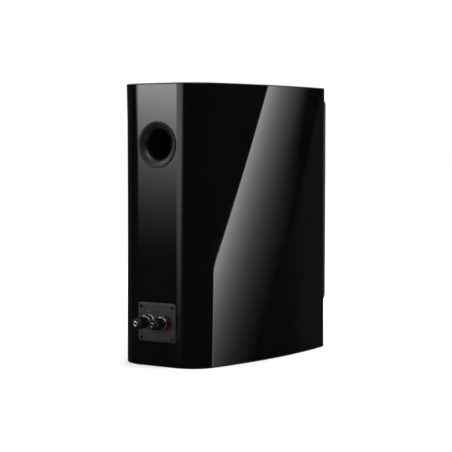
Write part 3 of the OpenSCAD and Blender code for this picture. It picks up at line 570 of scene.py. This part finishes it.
def cavity_outline(_):
    r = side_r - wall_t
    start = math.degrees(math.asin((y_inside - side_cy) / r))
    return both_sides(
        arc(side_cx, side_cy, r, start, rear_a, side_steps)
        + arc(rear_cx, rear_cy, rear_corner_r - wall_t, rear_a, 90, corner_steps)[1:])


def at_rear_corner(ax, y):
    return y > rear_cy and rear_a <= math.degrees(math.atan2(y - rear_cy, ax - rear_cx)) <= 90


def at_front_edge(ax, y):
    return y < front_cy and -90 <= math.degrees(math.atan2(y - front_cy, ax - front_cx)) <= front_a


def outline_normal(x, y):
    """The outward direction of the body's outline at a point on it."""
    ax = abs(x)
    if y > rear_cy and ax <= rear_cx + 1e-3:
        return 0.0, 1.0
    if y < front_cy and ax <= front_cx + 1e-3:
        return 0.0, -1.0
    if at_rear_corner(ax, y):
        nx, ny = ax - rear_cx, y - rear_cy
    elif at_front_edge(ax, y):
        nx, ny = ax - front_cx, y - front_cy
    else:
        nx, ny = ax - side_cx, y - side_cy
    size = math.hypot(nx, ny)
    return math.copysign(nx / size, x), ny / size


def depth_under_skin(at):
    """How far a point lies inside the body's outline."""
    ax, y = abs(at.x), at.y
    if y > rear_cy and ax <= rear_cx:
        return y_back - y
    if at_rear_corner(ax, y):
        return rear_corner_r - math.hypot(ax - rear_cx, y - rear_cy)
    return min(side_r - math.hypot(ax - side_cx, y - side_cy), y - y_front)


def skin_normal(p):
    """The true normal of the lacquered skin at a point on it, rolling over at the rims."""
    nx, ny = outline_normal(p.x, p.y)
    rise = 0.0
    if p.z > cabinet_h - rim_r:
        rise = (p.z - cabinet_h + rim_r) / rim_r
    elif p.z < rim_r:
        rise = (p.z - rim_r) / rim_r
    rise = max(-1.0, min(1.0, rise))
    level = math.sqrt(1 - rise * rise)
    return Vector((nx * level, ny * level, rise))


def smooth_body(made):
    """True normals for the lacquered faces, and bare board for the faces inside."""
    skin_depth, board_depth = 0.6, 6
    mesh = made.data
    mesh.materials.append(finishes["bare_board"])
    normals = [Vector(n.vector) for n in mesh.corner_normals]
    for face in mesh.polygons:
        at = face.center / MM
        outwards = face.normal.dot(Vector((*outline_normal(at.x, at.y), 0)))
        at_rim = at.z < rim_r - 1e-3 or at.z > cabinet_h - rim_r + 1e-3
        end_face = abs(face.normal.z) > 0.999 and (at.z < 0.01 or at.z > cabinet_h - 0.01)
        at_skin = outwards > 0.985 and depth_under_skin(at) < skin_depth
        if end_face:
            for loop in face.loop_indices:
                normals[loop] = Vector((0, 0, 1 if at.z > rim_r else -1))
        elif at_skin or at_rim and outwards > 0.02:
            for loop in face.loop_indices:
                normals[loop] = skin_normal(mesh.vertices[mesh.loops[loop].vertex_index].co / MM)
        elif depth_under_skin(at) > board_depth and 1 < at.z < cabinet_h - 1:
            face.material_index = 1
    mesh.normals_split_custom_set([n[:] for n in normals])


def insert_holes():
    """Round pockets in the underside, one for each stand insert."""
    insert_r, hole_r, depth = 5, 5.02, 12.5
    low, high = span("stand_inserts")
    for x in (low[0] + insert_r, high[0] - insert_r):
        for y in (low[1] + insert_r, high[1] - insert_r):
            circle = arc(x, y, hole_r, 0, 352, 44)
            yield add_object("insert_hole", *prism(lambda _: circle, [(0, -1), (0, depth)]))


def cabinet_body():
    turns = [math.radians(a) for a in (90, 75, 60, 45, 30, 15)]
    rims = [(rim_r * (1 - math.cos(a)), rim_r * math.sin(a)) for a in turns]
    levels = [(inset, rim_r - rise) for inset, rise in rims] + [(0, rim_r), (0, cabinet_h - rim_r)]
    levels += [(inset, cabinet_h - rim_r + rise) for inset, rise in reversed(rims)]
    body = add_object("cabinet_body", *prism(body_outline, levels))

    cavity = add_object("cavity", *prism(cavity_outline, [(0, panel_t), (0, cabinet_h - panel_t)]))
    woofer_r, woofer_l, tweeter_r, tweeter_l = 84, 56, 40, 40
    woofer_hole = turned("woofer_hole", bore(woofer_r, -woofer_l, 9), woofer, 160)
    tweeter_hole = turned("tweeter_hole", bore(tweeter_r, -tweeter_l, 6), tweeter, 96)
    sleeve_r, flange_r, flange_t, through, ease = 28.3, 36.2, 4, wall_t + 1, 0.05
    section = [(0, -through), (sleeve_r, -through), (sleeve_r, -flange_t), (flange_r, -flange_t),
               (flange_r, -0.1), (flange_r + ease, 0.02), (flange_r + ease, 2), (0, 2)]
    port_hole = turned("port_hole", section, port, 160)
    back_face = Axis(plate.x, y_back, plate.z, 1)
    recess_shape, recess_d = rounded_box(71.6, 61.1, 4.3), 1.5
    recess = add_object("plate_recess", *stood(back_face, recess_shape, [(0, -recess_d), (0, 2)]))
    cutout_shape, cutout_d = rounded_box(53.5, 36, 0.5, 2), wall_t + 2
    cutout = add_object("plate_cutout", *stood(back_face, cutout_shape, [(0, -cutout_d), (0, -1)]))
    cut(body, cavity)
    cut(body, woofer_hole, tweeter_hole, port_hole, recess)
    cut(body, cutout, *insert_holes())
    dress(body, "cabinet_lacquer", "cabinet_shell", "top_panel", "bottom_panel", "front_panel")
    smooth_body(body)


cabinet_body()


# ---------------------------------------------------------------- the front: baffle and drivers

def hexagon(width):
    """Outline of a hexagon socket, by its width across the flats."""
    half = width / 2

    def radius(a, _):
        turn = (a + math.pi / 6) % (math.pi / 3) - math.pi / 6
        return half / math.cos(turn)
    return {"hex": radius}


def screw_section(head_r, head_h, socket, shank_r, shank_l, seat):
    """A tapered head with a rounded rim and a hexagon socket, on its shank."""
    top_r, rim, ease = head_r * 0.72, 0.35, 0.15
    top, waist = seat + head_h, seat + head_h * 0.45
    return [(0, seat - shank_l), (shank_r, seat - shank_l), (shank_r, seat), (head_r - ease, seat),
            (head_r, seat + ease), (head_r - ease, waist),
            (top_r + rim, top - 0.28), (top_r, top - 0.04), (top_r - rim, top),
            (socket * 0.68, top), (socket * 0.5, top - 0.22, "hex"), (socket * 0.5, waist, "hex"),
            (0, seat + head_h * 0.3)]


def screws(name, node, places, **sizes):
    """Black screws in place of a CAD node's; their sizes are those of screw_section."""
    made = several(name, screw_section(**sizes), places, 48, hexagon(sizes["socket"]))
    dress(made, "black_steel", node)


def spaced(axis, count, radius, offset_deg):
    """Places around an axis, as the CAD has them."""
    made = []
    for k in range(count):
        a = math.radians(offset_deg + 360 * k / count)
        x, y, z = axis.point(radius * math.cos(a), radius * math.sin(a), 0)
        made.append(Axis(x, y, z, axis.facing))
    return made


def baffle_plate():
    low, high = span("baffle_plate")
    width, thick, height = size_of("baffle_plate")
    chamfer, corner_r = 1.5, 18
    foot = Axis(0, high[1], (low[2] + high[2]) / 2, -1)
    levels = [(0.3, 0), (0, 0.3), (0, thick - chamfer - 0.25), (0.08, thick - chamfer),
              (chamfer - 0.12, thick - 0.2), (chamfer + 0.12, thick - 0.03), (chamfer + 0.5, thick)]
    outline = rounded_box(width, height, corner_r, 24)
    made = add_object("baffle_panel", *stood(foot, outline, levels), sharp_deg=50)
    woofer_seat_r, tweeter_seat_r, ease = 90.3, 55.3, 0.35
    woofer_face, tweeter_face = 6, 5
    cut(made,
        turned("woofer_bore", bore(78, -9, 0.1), woofer, 144),
        turned("woofer_seat", bore(woofer_seat_r, 0, 12, ease, woofer_face), woofer, 192),
        turned("tweeter_bore", bore(40, -10, 0.1), tweeter, 96),
        turned("tweeter_seat", bore(tweeter_seat_r, 0, 12, ease, tweeter_face), tweeter, 144))
    dress(made, "baffle_metal", "baffle_plate")


def cap(r, h, t, base, steps):
    """A shallow shell: the arc's radius follows from its rim and its height."""
    big = (r * r + h * h) / (2 * h)
    half = math.degrees(math.asin(r / big))
    outside = arc(0, base + h - big, big, 90 - half, 90, steps)
    inside = arc(0, base + h - big, big - t, 90, 90 - half, steps)
    return [(max(0.0, x), y) if abs(x) > 1e-4 else (0.0, y) for x, y in outside + inside]


def stretch(made, axis, material, node):
    """A soft ring: gives it its finish, bakes its place into its mesh, and hides the CAD node that
    it stands for.
    """
    paint(made, material)
    low = Vector(axis.point(0, 0, -1)) * MM
    high = Vector(axis.point(0, 0, 1)) * MM
    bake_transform(made)
    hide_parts(node)


def flared(share, foot, height):
    """Height of a cone that flattens outwards, at a share of its way from neck to rim."""
    return foot + height * share ** 0.75


def woofer_pieces():
    trim = eased([(74.3, 3), (79.2, 3), (79.2, 6), (82, 6), (82, 8.5), (80.5, trim_t),
                  (76.8, trim_t), (74.3, 7)], 0.6)
    dress(turned("woofer_trim", trim, woofer, 192), "trim_plastic", "woofer_trim_ring")

    inner_r, outer_r, neck_z, cone_h, cone_t, steps = 38.0, 59.5, -12.1, 14, 0.8, 20
    front = []
    for k in range(steps + 1):
        front.append((inner_r + (outer_r - inner_r) * k / steps, flared(k / steps, neck_z, cone_h)))
    lip_r, lip_z = 62.5, front[-1][1]
    section = front + [(lip_r, lip_z), (lip_r, lip_z - cone_t)]
    section += [(r, z - cone_t) for r, z in reversed(front)]
    dress(turned("woofer_diaphragm", section, woofer, 192),
          "cone_polymer", "woofer_cone", body="woofer_motion")

    dome_r, dome_h, dome_t = 41, 12, 0.6
    dome_z = flared((dome_r - inner_r) / (outer_r - inner_r), neck_z, cone_h) + cone_t
    dress(turned("woofer_dust_cap", cap(dome_r, dome_h, dome_t, dome_z, 24), woofer, 192),
          "cone_polymer", "woofer_dust_dome", body="woofer_motion")

    # The roll's outer arc starts at foot_deg, where it leaves the flange
    roll_r, low, high, outer, inner, foot_deg = 67.5, 2.0, 3, 6.5, 5.5, 8.85
    section = ([(outer_r, low), (roll_r - inner, low)] + arc(roll_r, low, inner, 180, 0, 24)[1:]
               + [(79.2, low), (79.2, high)] + arc(roll_r, low, outer, foot_deg, 180 - foot_deg, 28)
               + [(outer_r, high)])
    surround = turned("woofer_roll", section, woofer, 192, sharp_deg=40)
    stretch(surround, woofer, "surround_rubber",
            "woofer_surround")
    screws("woofer_bolts", "woofer_screws", spaced(woofer, count=8, radius=86, offset_deg=22.5),
           head_r=3.1, head_h=2.6, socket=3, shank_r=2, shank_l=10, seat=3)


def spider():
    """The corrugated centring disc behind the cone."""
    inner, outer, foot, base, thick = 38.0, 54.0, 59.7, -38.0, 0.6
    wave, waves, steps = 1.6, 3, 48
    back = []
    for k in range(steps + 1):
        s = k / steps
        back.append((inner + (outer - inner) * s, base + wave * math.sin(2 * math.pi * waves * s)))
    section = [(r, z + thick) for r, z in back] + [(foot, base + thick), (foot, base)] + back[::-1]
    made = turned("woofer_centring", section, woofer, 128, sharp_deg=60)
    stretch(made, woofer, "impregnated_fabric",
            "woofer_spider")


def tweeter_pieces():
    face = faceplate_t
    horn_in, horn_out, horn_z, steps = 18.1, 41, 1.8, 24
    mouth = []
    for k in range(steps + 1):
        s = k / steps
        mouth.append((horn_in + (horn_out - horn_in) * s, horn_z + (face - horn_z) * s ** 0.6))
    section = mouth + [(54.2, face), (55, face - 0.8), (55, 0), (horn_in, 0)]
    made = turned("tweeter_plate", section, tweeter, 192, sharp_deg=28)
    places = spaced(tweeter, count=4, radius=49, offset_deg=45)
    shank_r, head_r, seat = 1.8, 3.2, 2.6
    hole = [(0, -1), (shank_r, -1), (shank_r, seat), (head_r, seat), (head_r, face - 0.25),
            (head_r + 0.25, face), (head_r + 0.25, face + 2), (0, face + 2)]
    cut(made, *[turned("screw_hole", hole, at, 48) for at in places])
    dress(made, "faceplate_metal", "tweeter_faceplate")
    screws("tweeter_bolts", "tweeter_screws", places,
           head_r=2.9, head_h=2.1, socket=2.5, shank_r=1.5, shank_l=10, seat=seat)

    dress(turned("tweeter_diaphragm", cap(14.4, 4.6, 0.4, 1.0, 20), tweeter, 128),
          "coated_silk", "tweeter_dome", body="tweeter_motion")
    roll_r, base, outer, inner = 16.1, 0.4, 1.6, 1.2
    section = (arc(roll_r, base, outer, 180, 0, 16)
               + [(18.0, base), (18.0, 0), (17.3, 0), (17.3, base)]
               + arc(roll_r, base, inner, 0, 180, 16)[1:])
    made = turned("tweeter_roll", section, tweeter, 128, sharp_deg=45)
    stretch(made, tweeter, "coated_silk",
            "tweeter_surround")


baffle_plate()
woofer_pieces()
spider()
tweeter_pieces()


# ---------------------------------------------------------------- the back: port and terminals

def port_pieces():
    throat, tube_r, sleeve_r = 22.5, 25.1, 28
    # Both flares end in the same sleeve, which takes the tube
    sleeve = [(throat, -17.5), (tube_r, -17.5), (tube_r, -34), (sleeve_r, -34)]
    mouth, depth, rim, proud, flange_t, steps = 35.5, 9.5, 0.35, 1.8, 4, 32
    reach = mouth - rim - throat
    flare = []
    for k in range(1, steps + 1):
        a = math.radians(90 * k / steps)
        flare.append((mouth - rim - reach * math.sin(a),
                      proud - (depth + proud) * (1 - math.cos(a))))
    section = (arc(mouth - rim, proud - rim, rim, 0, 90, 10) + flare + sleeve
               + [(sleeve_r, -flange_t), (mouth, -flange_t)])
    dress(turned("port_mouth", section, port, 192, sharp_deg=28), "port_plastic", "port_flare")

    port_l = 150
    tube = [(throat, 17.5 - port_l), (25, 17.5 - port_l), (25, -17.5), (throat, -17.5)]
    dress(turned("port_pipe", tube, port, 128), "port_plastic", "port_tube")

    end = Axis(port.x, port.y - port_l, port.z, -1)
    roll, lip = 11.5, 3
    section = arc(34, -roll, roll, 90, 180, 20) + sleeve + [(sleeve_r, -lip), (34, -lip)]
    dress(turned("port_inner_mouth", section, end, 144, sharp_deg=28), "port_plastic",
          "port_inner_flare")


def terminal_plate():
    width, thick, height = size_of("terminal_plate")
    levels = [(0, -thick), (0, -0.45), (0.13, -0.13), (0.45, 0)]
    outline = rounded_box(width, height, 4, 16)
    made = add_object("terminal_panel", *stood(plate, outline, levels), sharp_deg=50)
    out, up = 30, 24.35
    places = [Axis(plate.x + x, plate.y, plate.z + z, 1) for x in (-out, out) for z in (-up, up)]
    screw_hole_r, stud_hole_r = 2, 5.85
    cut(made,
        *[turned("screw_hole", bore(screw_hole_r, -4, 1), at, 48) for at in places],
        *[turned("stud_hole", bore(stud_hole_r, -4, 1), post(sign), 64) for sign in SIGNS])
    dress(made, "terminal_metal", "terminal_plate")
    screws("terminal_bolts", "terminal_screws", places,
           head_r=3.1, head_h=1.8, socket=2, shank_r=1.7, shank_l=11, seat=0)


def polarity_marks():
    """A minus and a plus, as on any pair of terminals, printed above the posts."""
    half, stroke, rise = 2.1, 0.45, 16.5
    levels = [(0, -0.05), (0, 0.03), (0.05, 0.06)]

    def minus(inset):
        return [(half - inset, stroke - inset), (inset - half, stroke - inset),
                (inset - half, inset - stroke), (half - inset, inset - stroke)]

    def plus(inset):
        long, thin = half - inset, stroke - inset
        arm = [(long, -thin), (long, thin), (thin, thin)]
        turns = ((1, 0, 0, 1), (0, -1, 1, 0), (-1, 0, 0, -1), (0, 1, -1, 0))
        return [(a * x + b * y, c * x + d * y) for a, b, c, d in turns for x, y in arm]

    for sign, outline, ink in zip(SIGNS, (minus, plus), ("mark_light", "mark_red")):
        at = post(sign)
        above = Axis(at.x, at.y, at.z + rise, 1)
        made = add_object(f"{sign}_mark", *stood(above, outline, levels))
        dress(made, "terminal_metal", material=ink)


def fluted(count, flute_r, flute_out):
    """Outline with flutes cut into it by circles whose middles lie just outside its rim."""
    def radius(a, r):
        pitch = 2 * math.pi / count
        d = (a + pitch / 2) % pitch - pitch / 2
        c = r + flute_out
        side = c * math.sin(d)
        if abs(side) >= flute_r:
            return r
        return min(r, c * math.cos(d) - math.sqrt(flute_r ** 2 - side ** 2))
    return {"flute": radius}


def second_finish(made, axis, name, chosen):
    """Gives another finish to the faces of a turned piece that chosen(radius, height) picks."""
    made.data.materials.append(finishes[name])
    for face in made.data.polygons:
        c = face.center / MM
        if chosen(math.hypot(c.x - axis.x, c.z - axis.z), axis.facing * (c.y - axis.y)):
            face.material_index = 1


def post_pieces(sign):
    """A binding post: its collar, clamp ring, knob and stud. The negative one's metal is bright."""
    at = post(sign)
    negative = sign == "negative"
    hole_r = 4.73
    collar_r, collar_l, foot_l = 11.8, 6, 2.3
    collar = eased([(4.75, 0), (collar_r, 0), (collar_r, foot_l), (collar_r, collar_l),
                    (4.75, collar_l)], 0.7, 5)
    made = turned(f"{sign}_base", collar, at, 128)
    dress(made, "clear_collar" if negative else "red_collar", f"{sign}_collar")
    if negative:
        # Painted highlight: the negative collar's foot rim gets the near-white finish
        second_finish(made, at, "painted_collar_highlight", lambda r, w: r > 11 and w < 2)

    ring = eased([(hole_r, 9.3), (10.1, 9.3), (10.1, 10.8), (hole_r, 10.8)], 0.4, 4)
    dress(turned(f"{sign}_washer", ring, at, 128), "bright_metal", f"{sign}_clamp_ring",
          body=f"{sign}_clamp")

    low, long, wide, taper, round_r, ease = 10.9, 20.5, 9.7, 1.1, 1.5, 0.25
    end, end_r = low + long, wide - taper

    def side(z):
        return wide - taper * z / long
    smooth_l = 2.2
    grip = [(hole_r, low), (wide - ease, low), (wide, low + ease), (side(smooth_l), low + smooth_l)]
    grip += [(side(z), low + z, "flute") for z in (3.0, 3.5, 6, 9, 12, 15, 17.5)]
    grip += [(r, z, "flute") for r, z in arc(end_r - round_r, end - round_r, round_r, 0, 60, 6)]
    grip += arc(end_r - round_r, end - round_r, round_r, 75, 90, 2)
    grip += [(6.0, end), (5.7, end - 0.35), (hole_r, end - 0.35)]
    flutes = fluted(12, flute_r=1.4, flute_out=0.49)
    dress(turned(f"{sign}_grip", grip, at, 288, flutes, sharp_deg=38), "black_gloss_plastic",
          f"{sign}_knob", body=f"{sign}_knob")

    tip, stud_r, neck_r, socket_r = 34.5, 4.65, 4.3, 2.03
    root = tip - size_of(f"{sign}_stud")[1]
    stud = [(0, root), (stud_r - 0.3, root), (stud_r, root + 0.3), (stud_r, 31.7), (4.45, 32),
            (neck_r, 32.3), (neck_r, 33.9), (4.1, 34.3), (3.7, tip), (2.35, tip), (2.12, 34.4),
            (socket_r, 34.2), (socket_r, 14.5), (0, 13.9)]
    made = turned(f"{sign}_terminal", stud, at, 96)
    dress(made, "bright_metal" if negative else "copper_tint_metal", f"{sign}_stud")
    # Painted shade: the socket bore and the side of the tip get the dark metal, so only the end
    # ring shows bright
    second_finish(made, at, "painted_shade_metal",
                  lambda r, w: r < socket_r + 0.1 and w > 0 or r > neck_r - 0.15 and w > 31.5)


port_pieces()
terminal_plate()
polarity_marks()
for post_sign in SIGNS:
    post_pieces(post_sign)
sleeve_section = eased([(4.75, 6), (8.6, 6), (8.6, 9), (4.75, 9)])
dress(several("post_spacers", sleeve_section, [post(sign) for sign in SIGNS], 96),
      "black_gloss_plastic", "post_sleeves")


# ---------------------------------------------------------------- the studio

def stage_object(name, mesh, material, seen=False):
    """A part of the studio: one that is seen and takes shadows, or one that only mirrors."""
    made = bpy.data.objects.new(name, mesh)
    bpy.context.scene.collection.objects.link(made)
    mesh.materials.append(material)
    made.visible_camera = made.visible_diffuse = seen
    made.visible_transmission = made.visible_shadow = seen
    made.visible_glossy = not seen


def card(name, points, faces, values):
    """A card of light from points in millimetres, with its strength at each point."""
    mesh = bpy.data.meshes.new(name)
    mesh.from_pydata([(x * MM, y * MM, z * MM) for x, y, z in points], [], faces)
    mesh.attributes.new("glow", "FLOAT", "POINT").data.foreach_set("value", values)
    material = bpy.data.materials.new(name)
    nodes = Nodes(material)
    strength = nodes.node("ShaderNodeAttribute", attribute_name="glow").outputs["Fac"]
    emission = nodes.node("ShaderNodeEmission", Strength=strength)
    nodes.node("ShaderNodeOutputMaterial", emission.outputs[0])
    stage_object(name, mesh, material)


def curved_card(name, radius, rows, columns, place, glow):
    """A card bent round the object. place(s, t) gives its azimuth in degrees and its height."""
    points, values, faces = [], [], []
    for r in range(rows + 1):
        for c in range(columns + 1):
            azimuth, height = place(c / columns, r / rows)
            a = math.radians(azimuth)
            points.append((radius * math.cos(a), radius * math.sin(a), height))
            values.append(max(0.0, glow(azimuth, height)))
    for r in range(rows):
        for c in range(columns):
            k = r * (columns + 1) + c
            faces.append((k, k + 1, k + columns + 2, k + columns + 1))
    card(name, points, faces, values)


def window(start, end, low, high):
    """place(s, t) of a card between two azimuths and two heights."""
    return lambda s, t: (start + (end - start) * s, low + (high - low) * t)


def between(value, rise, fall):
    """1 between a rise and a fall, each given as (start, end), and 0 outside them."""
    return smooth_step(value, *rise) * (1 - smooth_step(value, *fall))


WALL_R, CARD_R = 3050, 3000
DARK = 0.012  # what the black flags still give back
CARD_FADE = 550, 585  # the heights where a card goes over into the flags


def flags():
    """Dark all round, with paler strips above and below that draw the round edges."""
    low, high = -3000, 4500

    def glow(azimuth, height):
        if azimuth < 90:
            beside = 0.03 * (1 - smooth_step(azimuth, 0, 25))
        else:
            beside = 0.017 * smooth_step(azimuth, 234, 243)
        behind = between(azimuth, (10, 35), (95, 125))
        below = 0.4 * smooth_step(-height, 600, 1500) * (1 - 0.8 * behind)
        return (DARK + beside + below + 0.5 * smooth_step(height, 900, 1500)
                - 0.2 * smooth_step(height, 2000, 4500))
    curved_card("flags", WALL_R, 60, 120, window(0, 360, low, high), glow)
    ring = [(x, y, low) for x, y in arc(0, 0, WALL_R, 0, 350, 35)]
    card("low_flag", ring, [tuple(range(len(ring)))], [0.1] * len(ring))


def rear_card():
    """The card that the flat back mirrors, and past the blend the one in its rounded corner."""
    left, right, low, high = 34.5, 95, -450, 650
    blend = 57.2, 64.5

    def back(azimuth, height):
        fade = clamp((height + 150) / 690) ** 2.8
        start = left + 3.7 + 7.5 * clamp((532 - height) / 230)
        return 0.03 + 6.1 * fade * smooth_step(azimuth, start, 57)

    def corner(azimuth, height):
        fade = 1.04 * clamp((height - low) / 843) ** 1.42
        fade *= 1 - 0.13 * smooth_step(height, 250, 450)
        lean = (540 - height) * 0.0097
        return 0.03 + 2.0 * fade * (1 - smooth_step(azimuth, 77.5 - lean, 90.8 - lean))

    def glow(azimuth, height):
        t = smooth_step(azimuth, *blend)
        both = back(azimuth, height) * (1 - t) + corner(azimuth, height) * t
        return DARK + (both - DARK) * (1 - smooth_step(height, *CARD_FADE))
    curved_card("rear_card", CARD_R, 80, 90, window(left, right, low, high), glow)


def upper_card():
    """Light from high behind, for the top's rim."""
    def glow(azimuth, height):
        return DARK + 1.7 * smooth_step(height, 600, 1000) * between(azimuth, (0, 15), (50, 65))
    curved_card("upper_card", CARD_R - 50, 24, 24, window(0, 65, 600, 3000), glow)


def front_card():
    """The card that the drivers and the baffle plate mirror."""
    def glow(azimuth, height):
        return 0.042 + 3.0 * between(azimuth, (262, 285), (315, 345)) * between(
            height, (-300, 150), (380, 560))
    curved_card("front_card", CARD_R - 20, 30, 30, window(262, 345, -300, 1500), glow)


def side_card():
    """The card in the curved side: sharp along one leaning edge, and fading away from it."""
    low, high, wide = -800, 650, 27
    edge, edge_z, lean, low_lean = 204.1, -85, 0.0324, 0.0195

    def place(s, t):
        height = low + (high - low) * t
        line = edge + (height - edge_z) * lean
        start = max(line, edge + (height - edge_z) * low_lean)
        return start + (line + wide - start) * s, height

    def glow(azimuth, height):
        s = azimuth - (edge + (height - edge_z) * lean)
        bright = 6.0 * (0.9 - 0.14 * smooth_step(height, -100, 600)) * math.exp(-0.16 * s)
        dip = 1 - 0.6 * smooth_step(height, 0, 538) * smooth_step(s, 13, 22)
        return (bright * dip - 0.08) * (1 - smooth_step(height, *CARD_FADE))
    curved_card("side_card", CARD_R, 60, 60, place, glow)


def background_rays(nodes):
    """1 for a ray that shows the background: from the camera, in a reflection or through glass."""
    path = nodes.node("ShaderNodeLightPath")
    value = path.outputs["Is Camera Ray"]
    for name in ("Is Glossy Ray", "Is Transmission Ray"):
        value = nodes.math("MAXIMUM", value, path.outputs[name])
    return value


def floor():
    """Pale, with the object's shadow near it, and going over into the white background."""
    reach = 9
    mesh = bpy.data.meshes.new("floor")
    corners = [(x * reach, y * reach, 0) for x, y in ((-1, -1), (1, -1), (1, 1), (-1, 1))]
    mesh.from_pydata(corners, [], [(0, 1, 2, 3)])
    material = bpy.data.materials.new("floor")
    nodes = Nodes(material)
    seen = background_rays(nodes)
    diffuse = nodes.node("ShaderNodeBsdfDiffuse", Color=(0.8, 0.8, 0.8, 1))
    place = nodes.node("ShaderNodeTexCoord").outputs["Object"]
    away = nodes.node("ShaderNodeVectorMath", place, operation="LENGTH").outputs["Value"]
    near_m, far_m, near_lift, far_lift = 0.4, 1.4, 0.25, 0.6
    lift = nodes.spread(away, near_lift, far_lift, near_m, far_m)
    emission = nodes.node("ShaderNodeEmission", Strength=nodes.math("MULTIPLY", seen, lift))
    both = nodes.node("ShaderNodeAddShader", diffuse.outputs[0], emission.outputs[0])
    nodes.node("ShaderNodeOutputMaterial", both.outputs[0])
    stage_object("floor", mesh, material, seen=True)


def white_world():
    """White behind the object, and dimmer as a light on it."""
    white = (1, 1, 1, 1)
    world = bpy.data.worlds.new("studio")
    bpy.context.scene.world = world
    nodes = Nodes(world)
    seen = background_rays(nodes)
    light = nodes.node("ShaderNodeBackground", Color=white, Strength=0.62)
    behind = nodes.node("ShaderNodeBackground", Color=white)
    mix = nodes.node("ShaderNodeMixShader", seen, light.outputs[0], behind.outputs[0])
    nodes.node("ShaderNodeOutputWorld", mix.outputs[0])


def softbox(name, azimuth_deg, elevation_deg, distance_m=2.6, size_m=1.2, power_w=28,
            mirrored=False):
    """A soft lamp that faces the object. Most don't mirror in the lacquer: the cards do that."""
    data = bpy.data.lights.new(name, "AREA")
    data.shape = "SQUARE"
    data.size = size_m
    data.energy = power_w
    lamp = bpy.data.objects.new(name, data)
    bpy.context.scene.collection.objects.link(lamp)
    a, e = math.radians(azimuth_deg), math.radians(elevation_deg)
    middle = Vector((0, 0, cabinet_h * MM / 2))
    away = Vector((math.cos(a) * math.cos(e), math.sin(a) * math.cos(e), math.sin(e)))
    lamp.location = middle + away * distance_m
    lamp.rotation_euler = (-away).to_track_quat("-Z", "Y").to_euler()
    lamp.visible_camera = False
    lamp.visible_glossy = mirrored


def camera(place_m, yaw_deg, pitch_deg, lens_mm):
    """A camera on a 36 mm frame. Yaw is counted from -y towards +x."""
    data = bpy.data.cameras.new("camera")
    data.sensor_width = 36
    data.lens = lens_mm
    data.clip_end = 100
    made = bpy.data.objects.new("camera", data)
    bpy.context.scene.collection.objects.link(made)
    made.location = place_m
    yaw, pitch = math.radians(yaw_deg), math.radians(pitch_deg)
    ahead = Vector((math.sin(yaw) * math.cos(pitch), -math.cos(yaw) * math.cos(pitch),
                    math.sin(pitch)))
    made.rotation_euler = ahead.to_track_quat("-Z", "Y").to_euler()
    bpy.context.scene.camera = made


# Four soft cards draw the reflections in the lacquer; the lamps light what is rough
flags()
rear_card()
upper_card()
front_card()
side_card()
floor()
white_world()
softbox("left_softbox", 30, 27)
softbox("right_softbox", 215, 25)
softbox("front_softbox", 285, 35)
softbox("top_softbox", 150, 62, distance_m=2.4, size_m=1.8, power_w=26, mirrored=True)
camera((-1.3495, 1.9804, 0.3485), yaw_deg=33.87, pitch_deg=-3.27, lens_mm=116.6)
bpy.context.scene.view_settings.view_transform = "Standard"
